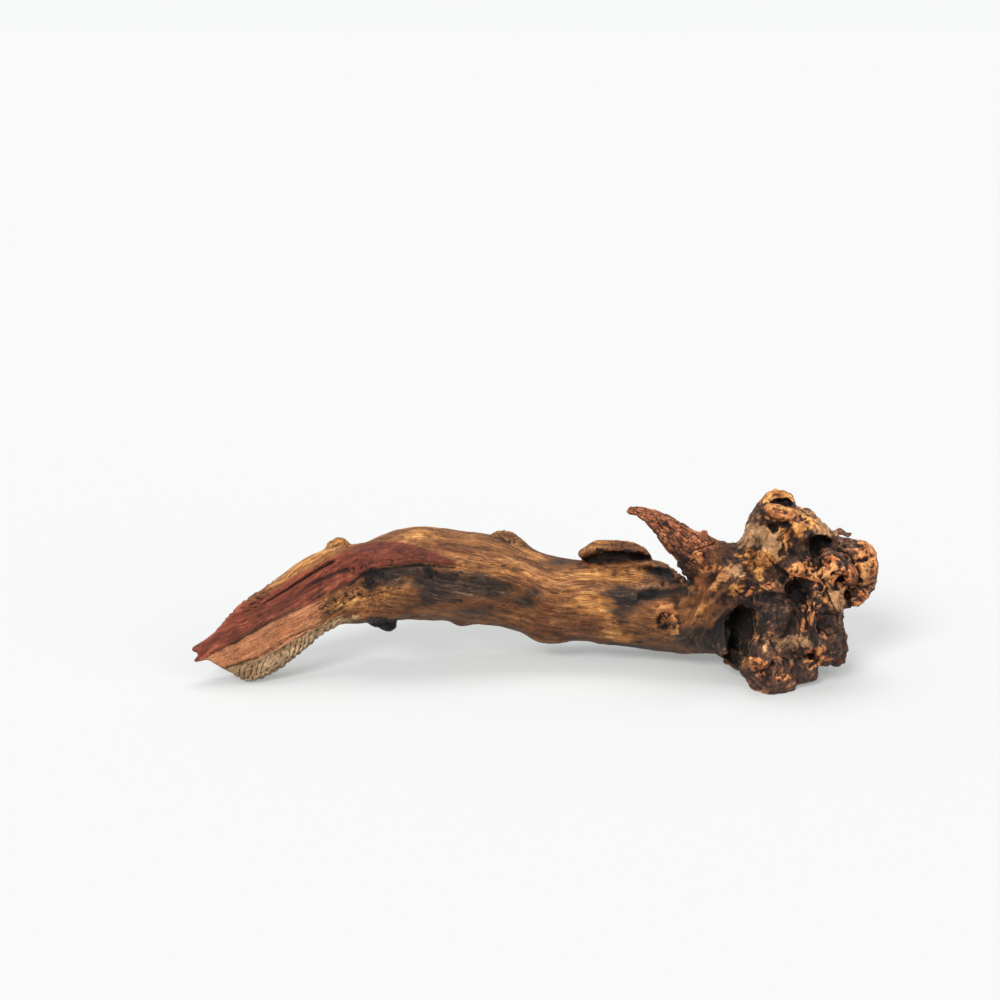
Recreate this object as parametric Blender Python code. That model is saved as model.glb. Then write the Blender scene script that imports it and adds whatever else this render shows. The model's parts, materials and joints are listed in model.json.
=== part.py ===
# A piece of dark bog wood that grew as one body. Its curved trunk is split along the grain at the left
# end, a broken side branch leans back over it, and a knotted root crown closes the right end.
# Sizes are in millimetres until the last step, which scales the mesh to metres. X runs along the trunk,
# -Y is the front, +Z is up, and the floor is Z = 0.
import itertools

import bpy
import bmesh
import numpy as np
from mathutils import Matrix

MM = 0.001
CENTRE = (1.0, 12.9, 0.0)  # the middle of the piece on the floor, which becomes the origin
STEPS_PER_STATION = 6
TUBE_SIDES = 40
FUSE_GRID = 2.0  # the grid on which tubes and lumps are fused into one skin
FINE_GRID = 1.5  # the grid of the last fusing, after the hollows are cut
ROUNDING = 12  # smoothing passes over the main masses
SOFTENING = 2  # smoothing passes over what stands out of them
TRIANGLES = 11000
SHARP_EDGE = 50.0  # degrees: a sharper edge than this stays crisp

# Trunk stations, from the split end to the crown: x, y, z, half height, half depth.
TRUNK = (
    (-182, -18, 7, 16, 13),
    (-171, -17, 16, 21.5, 16),
    (-157, -13.5, 28.3, 24.5, 19.5),
    (-141, -7, 40, 24, 21),
    (-121, 2, 50, 23.5, 22.5),
    (-98, 12, 51.5, 24, 24),
    (-73, 18, 55, 27.5, 25),
    (-45, 23, 51.8, 27.5, 26),
    (-18, 27, 46, 25.3, 26),
    (9, 26.5, 37, 25, 25),
    (36, 25, 35.3, 24.3, 25.5),
    (63, 24, 33.7, 26.5, 27),
    (87, 20, 33.5, 28.3, 28.5),
    (107, 15, 38, 31, 31),
    (128, 12, 44, 29, 30),
)

# The split takes the front off the trunk's first stretch, along a plane that leans back.
SPLIT_LENGTH = 125.0
SPLIT_DEPTH = 6.5  # from the trunk's middle to the plane
SPLIT_LEAN = 0.28
SPLIT_FADE = 0.55  # the share of the length after which the plane runs out of the trunk
END_SKEW = 0.3  # the broken end runs further at its top than at its heel
END_SKEW_LENGTH = 40.0
# The split face has a lower strip that lies back, and a crack under its upper band.
STEP_RISE = (4.5, -0.07)  # height of the step above the trunk's middle, and its change with travel
STEP_DEPTH = 4.5
CRACK_RISE = (19.5, -0.1)
CRACK_DEPTH = 3.0
CRACK_WIDTH = 2.6
FACE_END = 98.0  # travel at which the steps have faded away

# Side branch stations, from its root in the crown to its broken tip.
BRANCH = (
    (120, 10, 56, 14, 14),
    (104, 6, 66, 13, 13),
    (92, 3, 74, 11.3, 11.5),
    (82.5, 0, 82, 9.5, 9.8),
    (75.5, -3, 89, 7.8, 8),
    (69, -5, 94.8, 6, 6.2),
    (62, -6.5, 98.6, 4, 4.4),
    (56, -7.5, 100.5, 2.8, 3),
    (52, -8, 101, 2, 2),
)

# Splinters that stand out of the split end.
SPLINTERS = (
    ((-163, -14, 39, 8, 6), (-176, -16, 31, 7, 5), (-188, -18, 23.5, 5, 3.5), (-201, -19, 18.5, 2, 2)),
    ((-166, -14, 33, 7, 6), (-182, -18, 22, 6, 4.5), (-200, -20, 13, 2, 2)),
)

# Broken roots and stems that leave the crown, from its middle outwards.
ROOTS = {
    "second stem": ((139, 8, 60, 20, 23), (139.5, 8, 82, 17, 21), (141, 7, 97, 12.5, 16), (142, 6, 108.5, 7, 9)),
    "back foot": ((148, 20, 45, 24, 24), (142, 36, 28, 17, 18), (137, 48, 10, 14, 14), (135, 54, -6, 12, 12)),
    "front foot": ((143, -4, 40, 24, 24), (135, -17, 22, 20, 20), (136, -26, 7, 15, 13), (137, -29, -6, 12, 11)),
    "right": ((158, 4, 58, 21, 22), (175, 4, 62, 18, 20), (188, 3, 66, 14, 16), (197, 2, 73, 9, 12)),
    "right back": ((160, 10, 66, 18, 18), (171, 24, 66, 13, 13), (182, 36, 64, 10, 10), (189, 44, 62, 7, 7)),
    "back": ((150, 25, 58, 22, 22), (147, 44, 60, 16, 16), (144, 57, 65, 11, 11), (142, 65, 69, 7, 7)),
    "low right": ((156, -2, 38, 22, 22), (165, -6, 25, 18, 18), (172, -7, 13, 12, 12), (175, -7, 5, 7, 9)),
}

# Lumps and hollows are squeezed balls: centre, radii, tilt about Y in degrees.
MASSES = {
    "stem base": ((138, 8, 77), (18.5, 25, 25), 5),
    "right shoulder": ((157.5, 6, 80), (20.5, 25, 17.5), 38),
    "crown": ((147, 8, 45), (36, 40, 36), 0),
    "left shoulder": ((119, 8, 55), (19, 26, 21), -25),
    "neck": ((121, -8, 20), (18, 20, 13), 38),
    "crown back": ((152, 28, 52), (28, 24, 30), 0),
}
STUBS = {
    "left top": ((-116, 20, 68), (11, 12, 9), -25),
    "middle top": ((-20, 36, 62), (14, 12, 13), 25),
    "under": ((-88, 26, 24), (10, 8, 8), 0),
    "under tip": ((-92, 28, 21), (5, 6, 6), 30),
    "shelf": ((48, 20, 62), (24, 18, 11), 2),
    "belly": ((10, 22, 18), (16, 14, 8), 0),
    "belly left": ((-43, 22, 26), (9, 10, 5), 0),
    "back": ((-52, 47, 48), (14, 9, 12), 0),
    "back low": ((40, 46, 30), (12, 9, 9), 0),
}
KNOBS = {
    "foot burl": ((127, -30, 19), (7, 10, 7), 0),
    "stem burl": ((131, -20, 78), (9, 10, 8), 30),
    "brow": ((146, -26, 74), (11, 12, 6), 8),
    "root end a": ((172, -16, 73), (8, 12, 7), 0),
    "root end b": ((181, -14, 64), (8, 12, 8), 0),
    "root end c": ((165, -24, 64), (6, 10, 7), 0),
    "hanging root": ((158, -28, 47), (5, 9, 15), 8),
    "root end d": ((172, -20, 50), (7, 10, 10), 0),
    "bark low": ((151, -28, 30), (11, 10, 11), 0),
    "bark right": ((168, -22, 27), (11, 12, 13), 0),
    "bark middle": ((136, -32, 44), (9, 9, 14), 10),
    "lip": ((141, -10, 100), (13, 10, 5), 10),
    "wedge": ((154, -13, 89), (12, 10, 6), 40),
    "right end": ((194, 0, 59), (7, 12, 8), 0),
    "right low": ((188, 2, 48), (8, 12, 9), 15),
    "heel right": ((180, -6, 8), (7, 9, 8), 0),
    "heel front": ((155, -20, 10), (12, 12, 10), 0),
    "back right": ((182, 22, 44), (9, 12, 14), 0),
    "back middle": ((162, 46, 38), (12, 10, 14), 0),
    "back left": ((126, 34, 66), (11, 9, 13), 0),
    "under right": ((168, 18, 18), (13, 14, 12), 0),
    "under left": ((124, 44, 14), (9, 10, 9), 0),
}
HOLLOWS = {
    "cavity": ((119, -25, 35), (10, 17, 15), 8),
    "under the brow": ((149, -36, 59), (10, 14, 7), 0),
    "shoulder": ((161, -22, 84), (7.5, 14, 8), 0),
    "slot": ((142, -12, 106), (9, 12, 3), -4),
    "under the lip": ((137, -22, 94), (4.5, 8, 4), 0),
    "under the shelf": ((52, 4, 62), (17, 11, 3), 3),
    "notch under the branch": ((84, 10, 62), (4.5, 34, 7), 30),
    "broken stub": ((-32, 32, 69), (7, 14, 4), 20),
    "back": ((163, 60, 56), (11, 16, 11), 0),
    "back low": ((119, 46, 44), (10, 12, 12), 0),
}

# Knots on the front: centre, and radius of the rim round each pit.
KNOTS = (
    ((-96, -6, 60), 7.5),
    ((-64, -3, 64), 5.5),
    ((75, -7, 33), 8),
)
KNOT_RIM = 1.4
KNOT_PIT = 4.0


def smooth_path(stations):
    """Catmull-Rom curve through the stations."""
    points = np.array(stations, float)
    ends = np.vstack([2 * points[0] - points[1], points, 2 * points[-1] - points[-2]])
    rows = []
    for i in range(1, len(ends) - 2):
        a, b, c, d = ends[i - 1 : i + 3]
        for t in np.arange(STEPS_PER_STATION) / STEPS_PER_STATION:
            bend = (2 * a - 5 * b + 4 * c - d) * t**2 + (3 * b - a - 3 * c + d) * t**3
            rows.append(0.5 * (2 * b + (c - a) * t + bend))
    rows.append(points[-1])
    return np.array(rows)


def ring_frames(centres):
    """For each ring: the way along the tube, the way up across it, and the way back across it.
    On a tube that stands upright, the way up across it points left."""
    along = np.gradient(centres, axis=0)
    along /= np.linalg.norm(along, axis=1, keepdims=True)
    upright = abs(along[:, 2].mean()) > 0.7
    back = np.cross([-1.0, 0.0, 0.0] if upright else [0.0, 0.0, 1.0], along)
    back /= np.linalg.norm(back, axis=1, keepdims=True)
    return along, np.cross(along, back), back


def travel_of(centres):
    """Distance along the tube to each ring."""
    return np.concatenate([[0], np.cumsum(np.linalg.norm(np.diff(centres, axis=0), axis=1))])


def tube(bm, stations, split=False):
    """A closed tube of ellipses along the stations. A split tube is planed off in front at its start."""
    path = smooth_path(stations)
    centres, high, deep = path[:, :3], path[:, 3], path[:, 4]
    along, up, back = ring_frames(centres)
    travel = travel_of(centres)
    turn = np.arange(TUBE_SIDES) * 2 * np.pi / TUBE_SIDES
    rings = []
    for i, centre in enumerate(centres):
        rise = high[i] * np.sin(turn)
        reach = deep[i] * np.cos(turn)
        skew = 0.0
        if split:
            past = travel[i] / SPLIT_LENGTH - SPLIT_FADE
            fade = np.clip(past / (1 - SPLIT_FADE), 0, 1)
            plane = SPLIT_LEAN * rise - SPLIT_DEPTH
            reach = np.maximum(reach, plane - 1.5 * deep[i] * fade**2)
            skew = END_SKEW * np.clip(1 - travel[i] / END_SKEW_LENGTH, 0, 1)
        points = centre + np.outer(rise, up[i]) + np.outer(reach, back[i]) - np.outer(skew * rise, along[i])
        rings.append([bm.verts.new(p) for p in points])
    for low, top in zip(rings, rings[1:]):
        for j in range(TUBE_SIDES):
            k = (j + 1) % TUBE_SIDES
            bm.faces.new((low[j], low[k], top[k], top[j]))
    bm.faces.new(rings[0][::-1])
    bm.faces.new(rings[-1])


def lumps(bm, rows, roundness):
    """A squeezed ball for each row. A low roundness leaves it with large facets, and each one is turned
    another way, like wood that broke at random."""
    for count, (centre, radii, tilt) in enumerate(rows.values()):
        squeeze = Matrix.Diagonal((*radii, 1))
        place = Matrix.Translation(centre) @ Matrix.Rotation(np.radians(tilt), 4, "Y") @ squeeze
        roll = Matrix.Rotation(count * 2.4, 4, "X") @ Matrix.Rotation(count * 1.7, 4, "Z")
        bmesh.ops.create_icosphere(bm, subdivisions=roundness, radius=1, matrix=place @ roll)


def add_to(obj, bm):
    """Joins this bmesh to what the object's mesh already holds."""
    bmesh.ops.recalc_face_normals(bm, faces=bm.faces)
    bm.from_mesh(obj.data)
    bm.to_mesh(obj.data)
    bm.free()


def new_object(name):
    made = bpy.data.objects.new(name, bpy.data.meshes.new(name))
    bpy.context.scene.collection.objects.link(made)
    return made


def evaluate(obj):
    """Replaces the object's mesh by what its modifiers make of it."""
    graph = bpy.context.evaluated_depsgraph_get()
    mesh = bpy.data.meshes.new_from_object(obj.evaluated_get(graph))
    obj.modifiers.clear()
    obj.data = mesh


def fuse(obj, grid, smoothing):
    """Makes one skin of everything in the mesh, and rounds its creases."""
    remesh = obj.modifiers.new("fuse", "REMESH")
    remesh.mode = "VOXEL"
    remesh.voxel_size = grid
    soften = obj.modifiers.new("soften", "SMOOTH")
    soften.factor = 0.5
    soften.iterations = smoothing
    evaluate(obj)


def cut_hollows(obj):
    """Cuts the hollows out of the fused body."""
    cutter = new_object("hollows")
    bm = bmesh.new()
    lumps(bm, HOLLOWS, 2)
    add_to(cutter, bm)
    cutter.hide_render = True
    cutter.display_type = "WIRE"
    cut = obj.modifiers.new("hollows", "BOOLEAN")
    cut.operation = "DIFFERENCE"
    cut.object = cutter
    evaluate(obj)
    bpy.data.objects.remove(cutter)


def noise(points, size, seed):
    """Smooth random values of about -1 to 1, from random slopes at the corners of cubes of this size."""
    scaled = points / size
    cell = np.floor(scaled).astype(np.int64)
    offset = scaled - cell
    ease = offset**3 * (offset * (offset * 6 - 15) + 10)
    total = np.zeros(len(points))
    for corner in itertools.product((0, 1), repeat=3):
        x, y, z = (cell + corner).T
        key = (x * 73856093) ^ (y * 19349663) ^ (z * 83492791) ^ (seed * 2654435761)
        key = ((key ^ (key >> 13)) * 1274126177) & 0x7FFFFFFF
        slopes = np.stack([(key >> shift) & 1023 for shift in (0, 10, 20)], axis=1) / 511.5 - 1
        share = np.prod(np.where(corner, ease, 1 - ease), axis=1)
        total += share * np.sum(slopes * (offset - corner), axis=1)
    return total * 1.6


def hump(value, middle, width):
    """1 at the middle, falling smoothly to 0 at this width on both sides."""
    return np.clip(1 - ((value - middle) / width) ** 2, 0, 1) ** 2


def trunk_coordinates(points):
    """How far along the trunk each point lies, and how high above its middle line."""
    centres = smooth_path(TRUNK)[:, :3]
    along, up, _ = ring_frames(centres)
    nearest = np.argmin(np.linalg.norm(points[:, None] - centres[None], axis=2), axis=1)
    offset = points - centres[nearest]
    travel = travel_of(centres)[nearest] + np.sum(offset * along[nearest], axis=1)
    return travel, np.sum(offset * up[nearest], axis=1)


def relief(obj):
    """Moves the skin along its normals: folds on the crown, grain on the trunk, steps on the split face,
    and a rim and a pit at each knot."""
    mesh = obj.data
    points = np.empty(len(mesh.vertices) * 3)
    mesh.vertices.foreach_get("co", points)
    points = points.reshape(-1, 3)
    normals = np.array([v.normal for v in mesh.vertices])
    travel, rise = trunk_coordinates(points)
    crown = np.clip((points[:, 0] - 88) / 30, 0, 1)
    folds = 1.2 - 5.5 * np.abs(noise(points, 19, 1)) + 1.2 * noise(points, 8, 2)
    grain = 0.9 * noise(points * (0.3, 1, 1), 9, 3) + 0.6 * noise(points, 22, 4)
    face = np.clip((FACE_END - travel) / 70, 0, 1) * np.clip(-normals[:, 1] * 3 - 1, 0, 1)
    step = -STEP_DEPTH * np.clip((STEP_RISE[0] + STEP_RISE[1] * travel - rise) / 1.5, 0, 1)
    crack = -CRACK_DEPTH * hump(rise, CRACK_RISE[0] + CRACK_RISE[1] * travel, CRACK_WIDTH)
    moved = crown * folds + (1 - crown) * (grain * (1 - 0.7 * face) + face * (step + crack))
    for centre, radius in KNOTS:
        away = np.linalg.norm(points - centre, axis=1)
        moved += KNOT_RIM * hump(away, radius, radius * 0.7) - KNOT_PIT * hump(away, 0, radius * 0.8)
    tips = np.clip((points[:, 0] + 186) / 12, 0.15, 1)
    points += normals * (moved * tips)[:, None]
    mesh.vertices.foreach_set("co", points.ravel())
    mesh.update()


def lighten(obj):
    """Thins the mesh to the triangle budget, keeping the detail where the skin bends."""
    thin = obj.modifiers.new("thin", "DECIMATE")
    thin.use_collapse_triangulate = True
    thin.ratio = TRIANGLES / (2 * len(obj.data.polygons))
    evaluate(obj)


def stand_on_floor(obj):
    """Cuts the three feet flat at the floor, closes the cuts, and scales the mesh to metres."""
    bm = bmesh.new()
    bm.from_mesh(obj.data)
    everything = bm.verts[:] + bm.edges[:] + bm.faces[:]
    cut = bmesh.ops.bisect_plane(bm, geom=everything, plane_co=(0, 0, 0), plane_no=(0, 0, -1), clear_outer=True)
    rim = [e for e in cut["geom_cut"] if isinstance(e, bmesh.types.BMEdge)]
    bmesh.ops.holes_fill(bm, edges=rim, sides=0)
    bmesh.ops.triangulate(bm, faces=bm.faces)
    bmesh.ops.translate(bm, vec=[-c for c in CENTRE], verts=bm.verts)
    bmesh.ops.scale(bm, vec=(MM, MM, MM), verts=bm.verts)
    bm.to_mesh(obj.data)
    bm.free()


def finish(obj):
    """Smooth shading with crisp edges round the flats, and the wood's material."""
    obj.data.shade_smooth()
    obj.data.set_sharp_from_angle(angle=np.radians(SHARP_EDGE))
    wood = bpy.data.materials.new("bog wood")
    wood.use_nodes = True
    surface = wood.node_tree.nodes["Principled BSDF"]
    surface.inputs["Base Color"].default_value = (0.21, 0.095, 0.035, 1)
    surface.inputs["Roughness"].default_value = 0.55
    surface.inputs["Metallic"].default_value = 0.0
    obj.data.materials.append(wood)


def main():
    for old in list(bpy.data.objects):
        bpy.data.objects.remove(old)
    trunk = new_object("trunk")

    bm = bmesh.new()
    tube(bm, TRUNK, split=True)
    for stations in ROOTS.values():
        tube(bm, stations)
    lumps(bm, MASSES, 3)
    lumps(bm, STUBS, 2)
    add_to(trunk, bm)
    fuse(trunk, FUSE_GRID, ROUNDING)

    bm = bmesh.new()
    tube(bm, BRANCH)
    for stations in SPLINTERS:
        tube(bm, stations)
    lumps(bm, KNOBS, 1)
    add_to(trunk, bm)
    fuse(trunk, FUSE_GRID, SOFTENING)

    cut_hollows(trunk)
    fuse(trunk, FINE_GRID, 1)
    relief(trunk)
    lighten(trunk)
    stand_on_floor(trunk)
    finish(trunk)


main()
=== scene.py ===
import itertools
import json

import bmesh
import bpy
import numpy as np
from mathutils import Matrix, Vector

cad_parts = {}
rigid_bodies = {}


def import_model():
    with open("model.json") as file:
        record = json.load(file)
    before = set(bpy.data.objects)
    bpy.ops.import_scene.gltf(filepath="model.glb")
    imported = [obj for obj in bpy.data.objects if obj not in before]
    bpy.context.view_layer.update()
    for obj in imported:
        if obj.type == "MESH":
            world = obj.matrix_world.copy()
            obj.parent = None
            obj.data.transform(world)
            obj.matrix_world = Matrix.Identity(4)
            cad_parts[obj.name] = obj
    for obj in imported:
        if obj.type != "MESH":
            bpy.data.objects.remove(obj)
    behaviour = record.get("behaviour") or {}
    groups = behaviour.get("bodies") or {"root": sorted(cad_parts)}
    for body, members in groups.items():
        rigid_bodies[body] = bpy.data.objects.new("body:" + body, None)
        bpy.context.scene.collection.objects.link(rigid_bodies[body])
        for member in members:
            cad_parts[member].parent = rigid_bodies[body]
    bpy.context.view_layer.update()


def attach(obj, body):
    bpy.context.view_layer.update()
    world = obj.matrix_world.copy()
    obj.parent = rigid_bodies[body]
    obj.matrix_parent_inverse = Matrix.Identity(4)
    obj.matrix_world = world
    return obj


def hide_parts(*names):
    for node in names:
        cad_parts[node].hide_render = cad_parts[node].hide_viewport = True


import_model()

# A dark bog wood trunk that grew as one body: a curved stem split along the grain at its left end, a broken
# side branch, and a knotted root crown. Forms are worked out in millimetres on the piece's own grid, and
# moved to their place in the frame at the end.
mm = 0.001
gridToFrame = (1.0, 12.9, 0.0)  # this point of the grid's floor is the frame's origin

picture = {
    "aim": (-21.0, 0.0, 105.2),  # the grid point in the middle of the picture
    "elevation": 15.0,
    "distance": 1100.0,
    "pixel": 0.58,  # mm at that distance
    "pixels": 1000,
}


def smoothPath(stations, steps=8):
    # a curve through the stations: each stretch is the cubic whose slopes come from its neighbours
    points = np.array(stations, float)
    ends = np.vstack([2 * points[0] - points[1], points, 2 * points[-1] - points[-2]])
    a, b, c, d = ends[:-3, None], ends[1:-2, None], ends[2:-1, None], ends[3:, None]
    t = (np.arange(steps) / steps)[None, :, None]
    bend = (2 * a - 5 * b + 4 * c - d) * t**2
    curve = 0.5 * (2 * b + (c - a) * t + bend + (3 * b - a - 3 * c + d) * t**3)
    return np.vstack([curve.reshape(-1, points.shape[1]), points[-1:]])


def carriedFrames(centres):
    # for each ring: the way along the path, up across it and back across it
    ahead = np.gradient(centres, axis=0)
    ahead /= np.linalg.norm(ahead, axis=1, keepdims=True)
    upright = abs(ahead[:, 2].mean()) > 0.7
    back = np.cross([-1.0, 0.0, 0.0] if upright else [0.0, 0.0, 1.0], ahead)
    back /= np.linalg.norm(back, axis=1, keepdims=True)
    return ahead, np.cross(ahead, back), back


def travelOf(centres):
    # how far along the path each centre lies
    return np.concatenate([[0], np.cumsum(np.linalg.norm(np.diff(centres, axis=0), axis=1))])


def tubeSurface(stations, sides, split=None):
    # an ellipse carried along the stations: centre + up * height * sin(turn) + back * depth * cos(turn);
    # a split keeps the front no further forward than its plane
    path = smoothPath(stations)
    centres, high, deep = path[:, :3], path[:, 3:4], path[:, 4:5]
    ahead, up, back = carriedFrames(centres)
    turn = np.arange(sides) * 2 * np.pi / sides
    rise = high * np.sin(turn)
    reach = deep * np.cos(turn)
    grid = centres[:, None] + rise[..., None] * up[:, None]
    if split:
        travel = travelOf(centres)[:, None]
        fade = ramp(travel / split["splitLength"], split["splitFade"], 1)
        plane = split["splitLean"] * rise - split["splitDepth"] - 1.5 * deep * fade**2
        reach = np.maximum(reach, plane)
        skew = split["endSkew"] * np.clip(1 - travel / split["endSkewLength"], 0, 1)
        grid = grid - (skew * rise)[..., None] * ahead[:, None]
    return grid + reach[..., None] * back[:, None]


def turned(points, axis, angle):
    # the points turned about an axis through the origin
    c, s = np.cos(angle), np.sin(angle)
    a, b = [i for i in range(3) if i != axis]
    out = points.copy()
    out[..., a] = c * points[..., a] - s * points[..., b]
    out[..., b] = s * points[..., a] + c * points[..., b]
    return out


def ballSurface(centre, radii, tilt, sides, roll=0.0):
    # a ball of two angles, rolled, squeezed to its radii, tilted about Y and moved to its centre
    fall = np.linspace(0.02, np.pi - 0.02, sides // 2 + 1)[:, None]
    turn = np.arange(sides)[None] * 2 * np.pi / sides
    wide = np.sin(fall)
    ball = np.stack([wide * np.cos(turn), wide * np.sin(turn), np.cos(fall) + 0 * turn], axis=2)
    ball = turned(turned(ball, 2, roll * 1.7), 0, roll * 2.4)
    return turned(ball * radii, 1, -np.radians(tilt)) + centre


def meshOf(name, grids):
    # each grid is a closed tube of rings; its first and last ring close on their middle
    corners, quads, fans, start = [], [], [], 0
    for grid in grids:
        rings, sides = grid.shape[:2]
        index = start + np.arange(rings * sides).reshape(rings, sides)
        following = np.roll(index, -1, axis=1)
        quad = np.stack([index[:-1], following[:-1], following[1:], index[1:]], axis=2).reshape(-1, 4)
        first, last = start + rings * sides, start + rings * sides + 1
        low = np.stack([following[0], index[0], np.full(sides, first)], axis=1)
        top = np.stack([index[-1], following[-1], np.full(sides, last)], axis=1)
        points = np.vstack([grid.reshape(-1, 3), grid[0].mean(axis=0), grid[-1].mean(axis=0)])
        fan = np.vstack([low, top])
        faces = np.vstack([fan, quad[:, :3], quad[:, (0, 2, 3)]]) - start
        a, b, c = points[faces[:, 0]], points[faces[:, 1]], points[faces[:, 2]]
        if np.sum(a * np.cross(b, c)) < 0:  # the volume, less than 0 where the faces look inward
            quad, fan = quad[:, ::-1], fan[:, ::-1]
        corners.append(points)
        quads += quad.tolist()
        fans += fan.tolist()
        start += len(points)
    mesh = bpy.data.meshes.new(name)
    mesh.from_pydata(np.vstack(corners), [], quads + fans)
    made = bpy.data.objects.new(name, mesh)
    bpy.context.scene.collection.objects.link(made)
    return made


def join(target, other):
    # adds the other's faces to the target's mesh
    bm = bmesh.new()
    bm.from_mesh(target.data)
    bm.from_mesh(other.data)
    bm.to_mesh(target.data)
    bm.free()
    bpy.data.objects.remove(other)


def settle(obj):
    # keeps what the modifiers make, as the object's own mesh
    graph = bpy.context.evaluated_depsgraph_get()
    mesh = bpy.data.meshes.new_from_object(obj.evaluated_get(graph))
    obj.modifiers.clear()
    obj.data = mesh


def fuse(obj, grid, rounding):
    # draws one skin over everything in the mesh, on a grid of this many mm, and rounds it
    remesh = obj.modifiers.new("fuse", "REMESH")
    remesh.mode = "VOXEL"
    remesh.voxel_size = grid
    soften = obj.modifiers.new("soften", "SMOOTH")
    soften.factor = 0.5
    soften.iterations = rounding
    settle(obj)


def cornerKey(corner, seed):
    # a whole number that seems random, for each corner of a grid of cubes
    x, y, z = corner[..., 0], corner[..., 1], corner[..., 2]
    key = (x * 73856093) ^ (y * 19349663) ^ (z * 83492791) ^ (seed * 2654435761)
    return ((key ^ (key >> 13)) * 1274126177) & 0x7FFFFFFF


def noise(points, size, seed):
    # smooth random values of about -1 to 1: random slopes at the corners of cubes, blended between them
    scaled = points / size
    home = np.floor(scaled).astype(np.int64)
    offset = scaled - home
    ease = offset**3 * (offset * (offset * 6 - 15) + 10)
    total = np.zeros(len(points))
    for corner in itertools.product((0, 1), repeat=3):
        key = cornerKey(home + corner, seed)
        share = np.ones(len(points))
        slope = np.zeros(len(points))
        for axis, step in enumerate(corner):
            share *= ease[:, axis] if step else 1 - ease[:, axis]
            slope += (((key >> (10 * axis)) & 1023) / 511.5 - 1) * (offset[:, axis] - step)
        total += share * slope
    return total * 1.6


def plates(points, size, seed, square=False):
    # one seed in each cube: how much further the second nearest seed is, and the nearest seed's number
    scaled = points / size
    home = np.floor(scaled).astype(np.int64)
    first = np.full(len(points), 9.0)
    second = np.full(len(points), 9.0)
    number = np.zeros(len(points), np.int64)
    for step in itertools.product((-1, 0, 1), repeat=3):
        cube = home + step
        key = cornerKey(cube, seed)
        spot = np.stack([(key >> shift) & 1023 for shift in (0, 10, 20)], axis=1) / 1023
        gap = scaled - cube - spot
        far = np.abs(gap).max(axis=1) if square else np.linalg.norm(gap, axis=1)
        closer = far < first
        second = np.where(closer, first, np.minimum(second, far))
        number[closer] = key[closer]
        first = np.minimum(first, far)
    return (second - first) * size, number


def hump(value, middle, width):
    # 1 in the middle and 0 from the width on: (1 - distance squared) squared
    return np.clip(1 - ((value - middle) / width) ** 2, 0, 1) ** 2


def ramp(value, low, high):
    # from 0 at low to 1 at high in a straight line
    return np.clip((value - low) / (high - low), 0, 1)


def readPoints(mesh):
    points = np.empty(len(mesh.vertices) * 3)
    mesh.vertices.foreach_get("co", points)
    return points.reshape(-1, 3)


def readNormals(mesh):
    normals = np.empty(len(mesh.vertices) * 3)
    mesh.vertex_normals.foreach_get("vector", normals)
    return normals.reshape(-1, 3)


def movePoints(mesh, points):
    mesh.vertices.foreach_set("co", points.ravel())
    mesh.update()


def sightLines():
    # the way the camera looks, and the way that shows as up
    tip = np.radians(picture["elevation"])
    return np.array([0, np.cos(tip), -np.sin(tip)]), np.array([0, np.sin(tip), np.cos(tip)])


def seenAt(points):
    # where points of the grid show in the picture, in pixels right and down
    look, rise = sightLines()
    offset = points - np.array(picture["aim"])
    depth = picture["distance"] + offset @ look
    size = picture["distance"] / depth / picture["pixel"]
    half = picture["pixels"] / 2
    return half + offset[:, 0] * size, half - (offset @ rise) * size


def fromStretch(x, y, start, end):
    # how far each place lies from the nearest point of a straight stretch
    (ax, ay), (bx, by) = start, end
    t = np.clip(((x - ax) * (bx - ax) + (y - ay) * (by - ay)) / ((bx - ax) ** 2 + (by - ay) ** 2), 0, 1)
    return np.hypot(x - ax - t * (bx - ax), y - ay - t * (by - ay))


def insideBy(x, y, outline):
    # how far inside a closed outline each place lies, in mm, and less than 0 outside
    corners = np.array(outline, float)
    far = np.full(len(x), 1e9)
    inside = np.zeros(len(x), bool)
    for (ax, ay), (bx, by) in zip(corners, np.roll(corners, -1, axis=0)):
        far = np.minimum(far, fromStretch(x, y, (ax, ay), (bx, by)))
        inside ^= ((ay > y) != (by > y)) & (x < ax + (y - ay) * (bx - ax) / (by - ay + 1e-9))
    return np.where(inside, far, -far) * picture["pixel"]


def besideBy(x, y, line):
    # how far each place lies from an open line, in mm
    line = np.array(line, float)
    far = np.full(len(x), 1e9)
    for start, end in zip(line[:-1], line[1:]):
        far = np.minimum(far, fromStretch(x, y, start, end))
    return far * picture["pixel"]


stem = {
    "sides": 96,
    # from the split end to the crown: x, y, z, half height, half depth
    "stations": (
        (-182, -18, 7, 16, 13), (-171, -17, 16, 21.5, 16), (-157, -13.5, 28.1, 23.9, 19.5),
        (-141, -7, 39.2, 22.6, 21), (-121, 2, 50, 23.5, 22.5), (-98, 12, 51.5, 24, 24),
        (-73, 18, 55, 27.5, 25), (-45, 23, 51.8, 27.5, 26), (-18, 27, 46, 25.3, 26),
        (9, 26.5, 37, 25, 25), (36, 25, 35.3, 24.3, 25.5), (63, 24, 33.7, 26.5, 27),
        (87, 20, 33.5, 28.3, 28.5), (107, 15, 38, 31, 31), (128, 12, 44, 29, 30),
    ),
    # the split takes the front off the first stretch, along a plane that leans back
    "splitLength": 125.0,
    "splitDepth": 6.5,
    "splitLean": 0.28,
    "splitFade": 0.55,
    "endSkew": 0.3,
    "endSkewLength": 40.0,
}

branch = {
    "sides": 48,
    "stations": (
        (120, 10, 56, 14, 14), (104, 6, 66, 13, 13), (92, 3, 74, 11.3, 11.5), (82.5, 0, 82, 9.5, 9.8),
        (75.5, -3, 89, 7.8, 8), (69, -5, 94.8, 6, 6.2), (62, -6.5, 98.6, 4, 4.4), (56, -7.5, 100.5, 2.8, 3),
        (52, -8, 101, 2, 2),
    ),
}

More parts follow.
